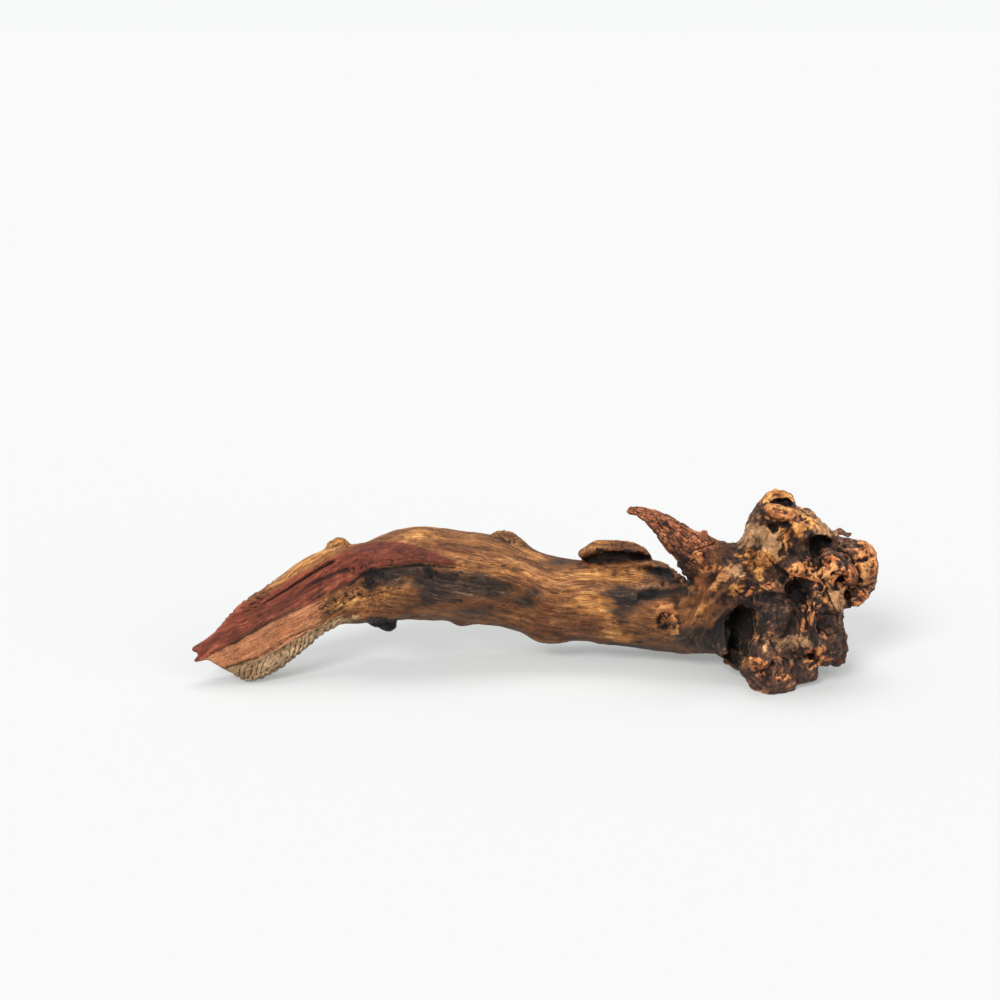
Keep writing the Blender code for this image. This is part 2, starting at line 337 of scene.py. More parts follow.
splinters = {
    "sides": 24,
    "upper": (
        (-163, -14, 39, 8, 6), (-176, -16, 31, 7, 5), (-188, -18, 24.5, 4.4, 3.5),
        (-201, -19, 19.5, 1.7, 1.8),
    ),
    "lower": (
        (-166, -14, 33, 7, 6), (-182, -18, 22, 5.5, 4.5), (-192, -19, 16.5, 3, 3),
        (-199.5, -20, 13, 1.6, 1.8),
    ),
}

roots = {
    "second stem": (
        (139, 8, 60, 20, 23), (139.5, 8, 82, 17, 21), (142, 7, 97, 12.5, 16), (143.5, 6, 108, 8, 9),
    ),
    "back foot": (
        (148, 20, 45, 24, 24), (142, 36, 28, 17, 18), (137, 48, 10, 14, 14), (135, 54, -6, 12, 12),
    ),
    "front foot": (
        (143, -4, 40, 24, 24), (135, -17, 22, 20, 20), (136, -26, 7, 15, 13), (137, -29, -6, 12, 11),
    ),
    "right": ((158, 4, 58, 21, 22), (175, 4, 62, 18, 20), (188, 3, 66, 14, 16), (197, 2, 73, 9, 12)),
    "right back": (
        (160, 10, 66, 18, 18), (171, 24, 66, 13, 13), (182, 36, 64, 10, 10), (189, 44, 62, 7, 7),
    ),
    "back": ((150, 25, 58, 22, 22), (147, 44, 60, 16, 16), (144, 57, 65, 11, 11), (142, 65, 69, 7, 7)),
    "low right": ((156, -2, 38, 22, 22), (165, -6, 25, 18, 18), (172, -7, 13, 12, 12), (175, -7, 5, 7, 9)),
}

# lumps and hollows are squeezed balls: centre, radii, tilt about Y in degrees
masses = {
    "stem base": ((139.5, 8, 77), (16.5, 25, 25), 5),
    "right shoulder": ((157.5, 6, 80), (20.5, 25, 14.8), 40),
    "crown": ((147, 8, 45), (36, 40, 36), 0),
    "left shoulder": ((119, 8, 55), (19, 26, 21), -25),
    "neck": ((119, -8, 17.5), (19, 20, 13), 36),
    "crown back": ((152, 28, 52), (28, 24, 30), 0),
}

stubs = {
    "belly": ((10, 22, 18), (16, 14, 8), 0),
    "belly left": ((-43, 22, 26), (9, 10, 5), 0),
    "back": ((-52, 47, 48), (14, 9, 12), 0),
    "back low": ((40, 46, 30), (12, 9, 9), 0),
}

knobs = {
    "left top": ((-117, 19, 68), (10, 10, 8.5), -30),
    "middle top": ((-16.5, 35, 62.5), (17, 12, 13.5), 29),
    "under": ((-93, 26, 28.5), (12.5, 9, 11), 0),
    "under tip": ((-89, 28, 20.5), (6, 6, 5.5), 30),
    "shelf": ((48, 24, 64), (23.5, 14, 10), 3),
    "flake a": ((160, 9, 96), (6, 5, 1.2), 48),
    "flake b": ((181, 6, 83.5), (7, 5, 1.2), -8),
    "flake c": ((178, 8, 86), (4, 4, 1.1), -20),
    "branch thorn": ((97, -1, 82.5), (3.0, 3.0, 6.5), 22),
    "branch thorn low": ((103, 0, 79), (5, 3.5, 4), -10),
    "foot burl": ((127, -30, 19), (7, 10, 7), 0),
    "stem burl": ((133, -12, 77), (9, 7, 8), 30),
    "brow": ((146, -26, 74), (11, 12, 6), 8),
    "root end a": ((172, -16, 73), (8, 12, 7), 0),
    "root end b": ((181, -14, 64), (8, 12, 8), 0),
    "root end c": ((165, -24, 64), (6, 10, 7), 0),
    "hanging root": ((158, -28, 47), (5, 9, 15), 8),
    "root end d": ((172, -20, 50), (7, 10, 10), 0),
    "bark low": ((151, -28, 30), (11, 10, 11), 0),
    "bark right": ((168, -22, 27), (11, 12, 13), 0),
    "bark middle": ((136, -32, 44), (9, 9, 14), 10),
    "lip": ((141, -10, 100), (13, 10, 5), 10),
    "wedge": ((154, -13, 89), (12, 10, 6), 40),
    "right end": ((194, 0, 59), (7, 12, 8), 0),
    "right low": ((188, 2, 48), (8, 12, 9), 15),
    "heel right": ((176, -6, 10), (6.5, 9, 8), 0),
    "heel front": ((155, -20, 10), (12, 12, 10), 0),
    "back right": ((182, 22, 44), (9, 12, 14), 0),
    "back middle": ((162, 46, 38), (12, 10, 14), 0),
    "back left": ((126, 36, 58), (11, 9, 11), 0),
    "under right": ((168, 18, 18), (13, 14, 12), 0),
    "under left": ((124, 44, 14), (9, 10, 9), 0),
}

hollows = {
    "cavity": ((120, -25, 36), (9, 17, 14), 10),
    "low cavity": ((117, -22, 22), (7, 15, 13), 14),
    "under the brow": ((149, -36, 59), (10, 14, 7), 0),
    "shoulder": ((161, -22, 84), (7.5, 14, 8), 0),
    "slot": ((142, -12, 106), (9, 12, 3), -4),
    "under the lip": ((137, -22, 94), (4.5, 8, 4), 0),
    "notch under the branch": ((84, 10, 62), (4.5, 34, 7), 30),
    "back": ((163, 60, 56), (11, 16, 11), 0),
    "back low": ((119, 46, 44), (10, 12, 12), 0),
}

# a slit along the line of sight, between the stem and the branch: x, y, z, half height, half depth
slits = {
    "slit top": ((79, -30, 77, 3, 3), (79, 20, 63.6, 3, 3), (79, 70, 50.2, 3, 3)),
    "slit upper": ((83, -30, 73.4, 2.8, 2.8), (83, 20, 60, 2.8, 2.8), (83, 70, 46.6, 2.8, 2.8)),
    "slit lower": ((87, -30, 68.4, 2.8, 2.8), (87, 20, 55, 2.8, 2.8), (87, 70, 41.6, 2.8, 2.8)),
    "slit end": ((90.5, -30, 63.4, 2.8, 2.8), (90.5, 20, 50, 2.8, 2.8), (90.5, 70, 36.6, 2.8, 2.8)),
}

skin = {
    "bodyGrid": 1.3,  # mm, the grid on which tubes and balls are fused into one skin
    "fineGrid": 0.78,
    "massRounding": 30,
    "knobRounding": 4,
    "hollowRoughness": 2.6,
    # how many sides the tubes and balls have
    "roots": 48, "masses": 32, "stubs": 16, "knobs": 9, "hollows": 24, "slits": 16,
    "triangles": 196000,
}


def followPath(points, stations):
    # travel along the path, and height and depth off its middle line
    centres = smoothPath(stations)[:, :3]
    ways, up, back = carriedFrames(centres)
    travel = travelOf(centres)
    spans = (points**2).sum(1)[:, None] - 2 * points @ centres.T + (centres**2).sum(1)
    place = travel[np.argmin(spans, axis=1)]

    def at(values, where):
        return np.stack([np.interp(where, travel, values[:, i]) for i in range(3)], axis=1)

    for _ in range(4):
        place = np.clip(place, 0, travel[-1])
        place = place + ((points - at(centres, place)) * at(ways, place)).sum(1)
    held = np.clip(place, 0, travel[-1])
    offset = points - at(centres, held)
    return np.stack([place, (offset * at(up, held)).sum(1), (offset * at(back, held)).sum(1)], axis=1)


# how the split face is stepped; lines are where they show in the picture, in pixels right and down
splitFace = {
    "heartTop": (
        (180, 632), (213, 626), (237, 601), (245, 603), (261, 597), (277, 587), (293, 577), (310, 569),
        (326, 561), (340, 553), (356, 545.5), (373, 541.6), (399, 542), (417, 546.5), (433, 552),
        (449, 558.5), (456, 563),
    ),
    "crack": (
        (232, 616), (248, 609), (261, 603.5), (277, 595), (293, 585), (310, 574), (325, 565), (334, 561),
    ),
    "crackDepth": 2.2,
    "ridge": ((296, 590), (310, 582), (330, 572), (345, 566), (362, 565), (380, 563), (400, 562)),
    "step": (
        (180, 668), (208, 656.5), (228, 644.7), (250, 632.7), (272, 619.7), (293, 610), (315, 602.4),
        (331, 592), (345, 587), (360, 579),
    ),
    "stepDepth": 2.6,
    "tailLine": (
        (345, 587), (362, 572), (379, 567), (400, 564.3), (419, 562), (433, 563), (449, 565.5), (456, 565),
    ),
    "sapLine": (
        (180, 690), (224, 667.4), (237, 664), (263, 656), (277, 649), (293, 639.5), (315, 628.4),
        (337, 617), (360, 612),
    ),
    "guide": ((160, 684), (208, 656.5), (345, 581), (373, 564), (400, 556), (430, 556), (460, 562)),
    "ripple": 4.1,
    "rippleFrom": 180,
    "tailFrom": 352,
    # from the first place to the second, in pixels right, something sets in or gives way
    "spans": {
        "guided": (440, 350), "open": (385, 325), "carved": (372, 345), "fluted": (350, 335),
        "stepEnd": (352, 320), "crackWidens": (250, 325), "crackStart": (226, 300), "crackEnd": (337, 330),
        "bandStart": (215, 245), "bandEnd": (337, 325), "ridgeStart": (296, 320), "rimStart": (255, 268),
        "rimEnd": (352, 340), "tailStart": (340, 362), "tailEnd": (462, 440), "rippleStart": (218, 240),
        "rippleEnd": (350, 330), "teethStart": (194, 202), "teethEnd": (276, 262), "heartEnd": (470, 452),
        "planeEnd": (340, 305), "sapEnd": (372, 335), "shadedTail": (335, 385),
    },
}


def belowLine(x, y, name):
    # how far below a line of the split face each place shows, in mm
    line = np.array(splitFace[name], float)
    return (y - np.interp(x, line[:, 0], line[:, 1])) * picture["pixel"]


def span(x, name):
    # from 0 to 1 over a named stretch of the split face
    return ramp(x, *splitFace["spans"][name])


crownStart = (88, 118)  # the stem turns into the crown over this stretch
seenDepth = 30  # the picture's cracks and broken parts reach this far back
pushDepth = 22  # and its forms this far


def placesOf(points, normals):
    # what the relief and the tones need to know about each point
    grain = followPath(points, stem["stations"])
    x, y = seenAt(points)
    look = sightLines()[0]
    facing = -(normals[:, 1] * look[1] + normals[:, 2] * look[2])
    twig = followPath(points, branch["stations"])
    reach = np.linalg.norm(twig[:, 1:], axis=1)
    onBranch = ramp(reach, 17, 13) * ramp(twig[:, 0], 22, 32)
    crown = ramp(points[:, 0], *crownStart) * (1 - onBranch)
    split = ramp(facing, -0.3, 0.0) * span(x, "guided")
    grain[:, 1] -= (belowLine(x, y, "guide") + grain[:, 1]) * split
    opened = span(x, "open")
    front = opened * ramp(facing, -0.45, -0.1) + (1 - opened) * ramp(facing, -0.05, 0.25)
    return {"grain": grain, "x": x, "y": y, "front": front, "twig": twig, "branch": onBranch,
            "crown": crown, "facing": facing}


def foldCrown(body):
    # the crown's broad folds, as on the solid
    mesh = body.data
    points, normals = readPoints(mesh), readNormals(mesh)
    crown = ramp(points[:, 0], *crownStart)
    folds = 1.2 - 5.5 * np.abs(noise(points, 19, 1)) + 1.2 * noise(points, 8, 2)
    movePoints(mesh, points + normals * (crown * folds)[:, None])


# forms on the front: an outline where it shows in the picture, in pixels right and down, how far it is
# pushed towards the eye in mm, how wide its edge is in mm, and the tone it carries
forms = {
    "slot": (((767, 503), (776, 499.6), (787, 499), (793, 501), (794, 505), (790, 508), (782, 506),
        (773, 504.5)), -9, 1.2, None),
    "lip": (((762, 506.6), (772, 505), (783, 507), (793, 510), (799, 513), (790, 519), (779, 522),
        (769, 519), (763, 514)), 2.6, 3.0, "gold"),
    "pit under the lip": (((766, 525), (780, 525.6), (778, 530.5), (775.4, 534), (770.5, 529)),
        -6, 1.2, None),
    "wedge": (((782, 526), (793, 521), (807, 518), (818, 522), (804, 529), (796, 540), (790, 550),
        (786, 546), (782, 533)), 2.0, 2.5, "gold"),
    "shoulder hole": (((808, 537.5), (818, 534), (827, 535.4), (832, 540), (831, 546), (824, 549),
        (818, 553), (812.6, 551.5), (810, 546)), -11, 1.3, None),
    "crevice": (((812.6, 551), (820, 552), (818.5, 564), (819, 577), (815, 574), (813, 560)),
        -6, 1.2, None),
    "brow": (((788, 572.6), (793, 564), (803, 562.7), (811, 565.6), (815.4, 575.4), (816.8, 584),
        (810, 585), (804, 579.6), (796, 578)), 3.2, 2.0, "amber"),
    "hollow under the brow": (((788, 582), (798.5, 580), (805.6, 584), (810, 592), (808.4, 603),
        (798.5, 605), (790, 599), (786, 589)), -8, 1.5, None),
    "dark shelf": (((763, 592), (776, 591), (787, 596), (787, 606), (773, 608), (762, 602)),
        -4, 2.0, None),
    "cavity": (((728, 615), (740, 610), (755, 603), (759, 615), (758.6, 629), (755, 638.5), (752, 648),
        (745, 655), (731, 648), (725.6, 634)), -6, 2.0, None),
    "hanging root": (((809, 603), (812.6, 602), (814.7, 614.6), (815.4, 628.7), (810, 631.5),
        (807.7, 623)), 3.2, 1.5, "amber"),
    "amber drop": (((816.8, 588), (824, 585), (826.6, 595), (828, 602), (822.4, 603.4), (816.8, 598)),
        2.6, 1.5, "amber"),
    "root end a": (((819.6, 567), (826.6, 558.5), (836.4, 553), (842, 558.5), (839, 567), (832, 570),
        (828, 577), (821, 575.4)), 2.6, 1.8, "amber"),
    "root end b": (((839, 570), (846, 565.6), (854.6, 567), (859, 575.4), (854.6, 585), (846, 581),
        (840.6, 577)), 3.2, 1.8, "amber"),
    "pit under it": (((841, 584), (850, 583), (852, 589), (843, 591)), -5, 1.2, None),
    "right upper": (((856, 540), (867, 537.5), (876, 543), (880, 555.7), (871.5, 558.5), (860, 555.7),
        (854.6, 547)), 2.2, 2.0, "amber"),
    "right lower": (((860, 562), (873, 563), (878.5, 571), (876, 581), (867, 586.6), (859, 578)),
        2.2, 2.0, "amber"),
    "right lowest": (((853, 596), (861.7, 591), (866.6, 596), (864.5, 603), (856, 606), (852, 602)),
        2.2, 1.5, "amber"),
    "foot burl": (((749, 665), (753.7, 658), (762, 658), (766, 664), (762, 673.6), (753.7, 676),
        (749.5, 671)), 2.4, 1.8, "amber"),
    "second burl": (((776, 668), (784.5, 669), (787, 676), (780, 682), (772, 679), (769, 673.6)),
        2.2, 1.8, None),
    "ledge": (((780, 612), (796, 608), (803, 610), (794, 617), (778, 622)), 2.0, 1.5, None),
    "slab": (((822, 615), (837, 616), (838, 632), (827, 634), (821, 626)), 1.2, 0.8, None),
    "under the shelf": (((582, 559.5), (590, 552.5), (605, 549), (620, 551), (640, 552), (649, 556),
        (651, 561), (640, 564), (610, 565), (588, 564)), -11, 1.0, None),
    "broken stub": (((491, 538), (498, 537), (506, 541.5), (515, 547.5), (505, 545.5), (494, 542)),
        -5, 1.2, None),
    "flap": (((643, 568), (650, 566), (674, 571), (684, 586), (674, 581), (661, 577), (649, 573)),
        -5, 1.0, None),
    "knot hole": (((656, 618), (662, 613), (669, 616), (670, 626), (663, 631), (657, 627)),
        -4, 1.0, None),
    "knot rim": (((654, 612), (660, 606), (672, 604), (677, 612), (670, 612), (660, 612)),
        1.6, 1.2, "amber"),
    "knot rim right": (((672, 614), (677, 620), (679, 632), (671, 636), (671, 624)), 1.5, 1.2, "amber"),
    "dark pit": (((637, 594), (648, 591), (657, 591), (655, 597), (646, 601), (638, 601)),
        -2.4, 2.0, None),
    "bark knot": (((360, 569), (372, 565), (381, 568), (379, 580), (372, 589), (366, 585), (363, 578)),
        1.0, 1.5, None),
    "gold spot": (((745, 556), (752, 550), (764, 550), (772, 557), (771, 567), (762, 576), (751, 574),
        (745, 566)), 1.7, 2.6, "gold"),
    "eye knot": (((419, 566), (426, 562), (432, 566), (432, 573), (426, 577), (420, 573)),
        0.9, 1.0, None),
}


def pushForms(body):
    # pushes each form along the line of sight, so that its outline stays where the picture shows it
    mesh = body.data
    points, normals = readPoints(mesh), readNormals(mesh)
    at = placesOf(points, normals)
    stray = 1.6 * noise(points, 5, 61), 1.6 * noise(points, 5, 62)
    x, y = at["x"] + stray[0], at["y"] + stray[1]
    facing = ramp(at["facing"], -0.1, 0.25) * (points[:, 1] < pushDepth)
    height = np.zeros(len(points))
    for outline, push, edge, _ in forms.values():
        height += push * facing * ramp(insideBy(x, y, outline), -0.3 * edge, 0.7 * edge) ** 0.8
    movePoints(mesh, points - height[:, None] * sightLines()[0])


# where the tones lie on the front, as they show in the picture: outlines, and ellipses by their middle, half
# width, half height and turn in degrees
tones = {
    "knot": (
        ((359, 570), (372, 565), (381, 568), (379, 580), (372, 590), (366, 586), (363, 578)),
        ((418, 568), (426, 562), (433, 566), (433, 574), (426, 578), (419, 574)),
        (663, 621, 6, 8, 20), (678, 570, 8, 12, -35), (668, 588, 18, 4, 3),
    ),
    "torn": (
        (617, 547, 38, 11, 0), (340, 539, 15, 8, -20), (503, 536, 22, 10, 25), (664, 575, 24, 9, 25),
        (388, 626, 22, 10, 0), (338, 602, 22, 9, -30), (674, 556, 12, 12, 0),
    ),
    # painted shade: near black laid in the hollows, slots, pits, knot holes and cracks and under the shelf,
    # the flap and the stub, where shade falls; on the knots it is partly the wood's own dark
    "blackShade": (
        ((727, 616), (735, 611), (746, 607), (757, 601), (759, 615), (758.6, 640), (752, 650), (738, 655),
         (728, 640)),
        ((645, 567.5), (652, 566.5), (674, 571), (684, 586), (674, 582), (661, 577), (649, 573)),
        ((788, 583), (798, 581), (806, 584), (810, 592), (808, 604), (798, 606), (790, 600), (786, 590)),
        ((809, 538), (818, 535), (827, 536), (830, 541), (826, 549), (819, 553), (818, 566), (816, 574),
         (813, 560), (810, 546)),
        ((768, 502), (777, 498.6), (788, 498.6), (793, 501), (794, 505), (790, 508), (780, 506),
         (772, 504.5)),
        ((766, 521.5), (780, 525.6), (777, 532), (771, 529)),
        ((583, 560), (590, 553), (605, 549.5), (620, 551.5), (640, 552.5), (648, 556), (648, 561),
         (625, 561.5), (600, 561.5)),
        ((364, 620), (405, 618), (404, 634), (372, 634)),
        ((361, 570), (372, 567), (380, 569), (378, 580), (372, 588), (366, 584)),
        (426, 570, 6, 7, 0), (663, 628, 5, 5, 0), (505, 542, 8, 2.5, 28), (647, 596, 8, 3.5, -10),
        (690, 580, 5, 9, -30), (817, 610, 2.5, 16, 0), (774, 598, 10, 7, 0), (724, 634, 9, 18, 0),
        (660, 524, 3, 8, -40), (682, 560, 4, 9, -40),
    ),
    # dark weathered wood; the patches under the crown's neck and round its cavity, where the underside lies
    # in shade, are painted shade
    "weatheredAndShaded": (
        ((410, 574), (426, 563), (441, 569.6), (456, 571), (460, 576), (466, 579), (474, 575), (485, 576),
         (493, 576), (500, 580), (511, 582), (509, 590), (507, 598), (528, 597), (532, 589), (542, 598),
         (537, 609), (516, 608), (500, 603), (480, 600), (462, 598), (445, 604), (424, 607), (412, 594),
         (420, 586), (408, 580)),
        ((360, 570), (381, 566), (419, 566), (420, 574), (400, 581), (384, 586), (371, 591), (364, 584)),
        ((609, 592), (620, 586), (640, 588), (658, 586), (684, 584), (690, 596), (664, 600), (650, 603),
         (636, 614), (622, 618), (612, 606)),
        ((643, 566), (674, 570), (684, 586), (660, 584), (648, 575)),
        (452, 600, 11, 3, 8), (423, 601, 3, 7, 10), (524, 600, 18, 8, 5), (628, 598, 22, 9, 0),
        (700, 636, 26, 12, 0), (640, 648, 34, 4, 4), (560, 561, 18, 4, 0), (736, 620, 16, 14, 0),
        (500, 540, 7, 3, 30), (470, 551, 4, 3, 0), (296, 629, 3, 2.5, 0), (480, 610, 26, 5, 0),
        (686, 562, 7, 12, -30), (411, 610, 6, 4, 20), (742, 658, 20, 14, 40), (775, 612, 22, 16, 0),
        (716, 642, 14, 14, 0),
    ),
    # golden wood; the patch on the shelf's roof is painted highlight, where its top catches the light
    "gold": (
        (300, 560, 56, 8, -30), (345, 541, 16, 5, 0), (424, 534, 22, 5, 3), (514, 545, 26, 6, 30),
        (512, 573, 18, 6, 14), (606, 577, 40, 8, 0), (598, 606, 22, 14, 12), (620, 634, 30, 8, 20),
        (375, 597, 40, 5, -12), (407, 582, 8, 6, 0), (756, 562, 16, 13, 0), (776, 498, 20, 9, 10),
        (798, 513, 22, 9, 32), (800, 527, 16, 8, -30), (703, 605, 10, 4, -40), (738, 588, 12, 5, -30),
        (720, 572, 10, 4, -40), (745, 520, 5, 16, 15), (616, 544, 34, 7, 0),
    ),
    "russet": (
        (518, 590, 11, 5, 10), (548, 612, 12, 13, 0), (586, 625, 18, 7, 5), (413, 590, 10, 9, 5),
        (700, 590, 30, 10, -40), (560, 632, 36, 8, 6), (450, 548, 30, 7, 4), (630, 545, 26, 6, 0),
        (590, 560, 30, 6, 0),
    ),
    "amber": (
        (664, 612, 10, 6, -20), (676, 627, 3.5, 8, 0), (866, 552, 11, 12, 0), (868, 572, 9, 8, 0),
        (858, 598, 7, 7, 0), (778, 515, 17, 5, 10), (770, 586, 5, 5, 0), (809, 652, 4, 7, 15),
        (700, 562, 14, 8, 30), (830, 576, 18, 7, 0), (752, 590, 6, 4, 0), (786, 676, 5, 3, 0),
        (820, 660, 9, 3, -40), (716, 582, 10, 4, -40),
    ),
    "grey": (
        ((738, 552), (744, 534), (756, 524), (768, 530), (780, 534), (784, 550), (782, 562), (772, 562),
         (758, 548)),
        (822, 524, 14, 8, 45), (776, 640, 13, 8, 0), (838, 600, 9, 10, 0), (800, 642, 13, 8, 0),
        (738, 570, 10, 8, 0), (868, 582, 9, 8, 0), (652, 589, 26, 3, 0),
    ),
    "rugged": (
        ((786, 560), (820, 548), (852, 536), (884, 536), (884, 606), (850, 616), (838, 606), (806, 612),
         (784, 604)),
        (752, 604, 10, 12, 0), (770, 672, 26, 12, 0), (845, 650, 12, 30, 0), (668, 618, 14, 14, 0),
        (742, 520, 8, 30, 15),
    ),
}

# over how many mm each tone comes in at its border
borders = {
    "face": 4.0, "knot": 3.0, "torn": 3.0, "blackShade": 3.0, "amber": 3.2, "gold": 4.5, "weatheredAndShaded": 10.0,
    "others": 6.0,
}


def patch(x, y, row, soft):
    # a soft ellipse in the picture: 0.5 at its rim, falling or rising over this many mm
    px, py, rx, ry, turn = row
    c, s = np.cos(np.radians(turn)), np.sin(np.radians(turn))
    a = ((x - px) * c + (y - py) * s) / rx
    b = ((y - py) * c - (x - px) * s) / ry
    away = (1 - np.sqrt(a * a + b * b)) * min(rx, ry) * picture["pixel"]
    return np.clip(0.5 + away / soft, 0, 1)


def toneOf(points, at, name, soft=None):
    # how much of a tone each point carries: 0.5 at its border, which strays along the grain
    soft = soft or borders.get(name, borders["others"])
    lines = at["grain"] * (0.3, 1, 1)
    x = at["x"] + 10 * noise(lines, 9, 71) + 8 * noise(lines * (1, 3, 3), 8, 75)
    x = x + 4 * noise(points, 3.5, 72)
    y = at["y"] + 5 * noise(lines, 7, 73) + 2.5 * noise(points, 3, 74)
    best = np.zeros(len(points))
    for row in tones[name]:
        if isinstance(row[0], tuple):
            best = np.maximum(best, np.clip(0.5 + insideBy(x, y, row) / soft, 0, 1))
        else:
            best = np.maximum(best, patch(x, y, row, soft))
    for outline, _, _, tone in forms.values():
        if tone == name:
            best = np.maximum(best, np.clip(0.6 + insideBy(x, y, outline) / soft, 0, 1))
    return best * at["front"]


def ruggedOf(points, at):
    # how broken the surface is, from 0 to 1
    known = np.maximum(0.36, toneOf(points, at, "rugged"))
    unseen = 0.35 + 0.65 * ramp(noise(points, 24, 39), -0.3, 0.3)
    seen = ramp(at["facing"], -0.1, 0.25) * (points[:, 1] < seenDepth)
    return at["crown"] * (known * seen + unseen * (1 - seen))


def facet(points, normals, number, share):
    # draws each numbered patch towards its own mean plane
    _, home = np.unique(number, return_inverse=True)
    count = np.bincount(home)
    middle = np.stack([np.bincount(home, points[:, i]) / count for i in range(3)], axis=1)
    lean = np.stack([np.bincount(home, normals[:, i]) for i in range(3)], axis=1)
    lean /= np.linalg.norm(lean, axis=1, keepdims=True) + 1e-9
    off = ((points - middle[home]) * lean[home]).sum(1)
    return points - (share * np.clip(off, -4, 4))[:, None] * lean[home]


def blocksOf(points, size, seed):
    # the broken blocks of the crown, taller than wide
    drift = np.stack([noise(points, 14, seed + i) for i in range(3)], axis=1) * 3.0
    return plates((points + drift) * (1, 1, 0.7), size, seed)


def breakCrown(body):
    # breaks the rugged parts of the crown into blocks with flat faces and gaps between them
    for size, share, gap in ((12.0, 0.6, 1.3), (6.0, 0.7, 0.9)):
        mesh = body.data
        points, normals = readPoints(mesh), readNormals(mesh)
        at = placesOf(points, normals)
        rugged = ruggedOf(points, at)
        edge, number = blocksOf(points, size, 35)
        points = facet(points, normals, number, share * rugged)
        points -= normals * (gap * rugged * ramp(edge, 1.1, 0.2))[:, None]
        movePoints(mesh, points)


def cutHollows(body):
    # the hollows have rough walls, and the slits are straight, so that they can be seen through
    sides = skin["hollows"]
    cutter = meshOf("hollows", [ballSurface(*row, sides, i) for i, row in enumerate(hollows.values())])
    fuse(cutter, 1.0, 1)
    points = readPoints(cutter.data)
    stray = np.stack([noise(points, 8, seed) for seed in (11, 12, 13)], axis=1)
    movePoints(cutter.data, points + skin["hollowRoughness"] * stray)
    join(cutter, meshOf("slits", [tubeSurface(stations, skin["slits"]) for stations in slits.values()]))
    fuse(cutter, 0.8, 0)
    cut = body.modifiers.new("hollows", "BOOLEAN")
    cut.operation = "DIFFERENCE"
    cut.object = cutter
    settle(body)
    bpy.data.objects.remove(cutter)


def makeBody():
    # the same masses in the same order as the solid: stem and roots are rounded together, then the branch,
    # splinters and knobs stand out more crisply, then the hollows are cut
    grids = [tubeSurface(stem["stations"], stem["sides"], stem)]
    grids += [tubeSurface(stations, skin["roots"]) for stations in roots.values()]
    grids += [ballSurface(*row, skin["masses"]) for row in masses.values()]
    grids += [ballSurface(*row, skin["stubs"], i) for i, row in enumerate(stubs.values())]
    body = meshOf("bog_wood", grids)
    fuse(body, skin["bodyGrid"], skin["massRounding"])
    grids = [tubeSurface(branch["stations"], branch["sides"])]
    grids += [tubeSurface(splinters[name], splinters["sides"]) for name in ("upper", "lower")]
    grids += [ballSurface(*row, skin["knobs"], i) for i, row in enumerate(knobs.values())]
    join(body, meshOf("knobs", grids))
    fuse(body, skin["bodyGrid"], skin["knobRounding"])
    cutHollows(body)
    foldCrown(body)
    fuse(body, 1.0, 1)
    pushForms(body)
    breakCrown(body)
    fuse(body, skin["fineGrid"], 1)
    print("body:", len(body.data.vertices), "points")
    return body


def grainLines(points, at):
    # the grain, swaying a little
    sway = 2.0 * noise(points, 26, 21) + 0.9 * noise(points, 9, 22) + 0.4 * noise(points, 4.5, 23)
    return at["grain"] + sway[:, None] * (0.0, 1.0, 1.0)


def carveGrain(points, at):
    lines = grainLines(points, at)
    height = 0.75 * noise(lines * (0.3, 1, 1), 9, 3) + 0.8 * noise(points, 22, 4)
    height += 0.4 * noise(points, 7, 8)
    height += 0.26 * noise(lines * (0.16, 1, 1), 4.0, 5) + 0.16 * noise(lines * (0.12, 1, 1), 1.9, 6)
    cracks = ramp(np.abs(noise(lines * (0.07, 1, 1), 5.5, 9)), 0.035, 0.0)
    return height - 0.6 * (cracks * ramp(noise(points, 12, 10), 0.1, 0.5))


def carveFace(points, at):
    # the torn face: long shallow flutes and fine fibres
    lines = grainLines(points, at)
    height = 0.4 * noise(lines * (0.04, 1, 0.4), 3.2, 94) + 0.2 * noise(lines * (0.06, 1, 0.5), 1.4, 95)
    return height + 0.3 * noise(lines * (0.1, 1, 0.4), 8, 96)


def carveSplit(at):
    # the split face: proud red bands above, a crack between them, a deep step and a lower plane
    x, y = at["x"], at["y"]
    lowered = ramp(belowLine(x, y, "step"), -0.7, 0.9) * span(x, "stepEnd")
    depth = -splitFace["stepDepth"] * lowered
    over = belowLine(x, y, "crack")
    width = 0.9 + 1.5 * span(x, "crackWidens")
    depth -= splitFace["crackDepth"] * hump(over, 0.5, width) * span(x, "crackStart") * span(x, "crackEnd")
    depth -= 1.1 * ramp(over, 0, 1.2) * (1 - lowered) * span(x, "bandEnd") * span(x, "bandStart")
    depth -= 2.4 * ramp(belowLine(x, y, "ridge"), 0, 2.0) * (1 - lowered) * span(x, "ridgeStart")
    depth += 0.9 * hump(belowLine(x, y, "sapLine"), 0.2, 0.9) * span(x, "rimStart") * span(x, "rimEnd")
    on = at["front"] * span(x, "carved")
    tailOn = at["front"] * span(x, "tailStart") * span(x, "tailEnd")
    return on * depth - tailOn * 2.2 * hump(belowLine(x, y, "tailLine"), 1.4, 2.2)


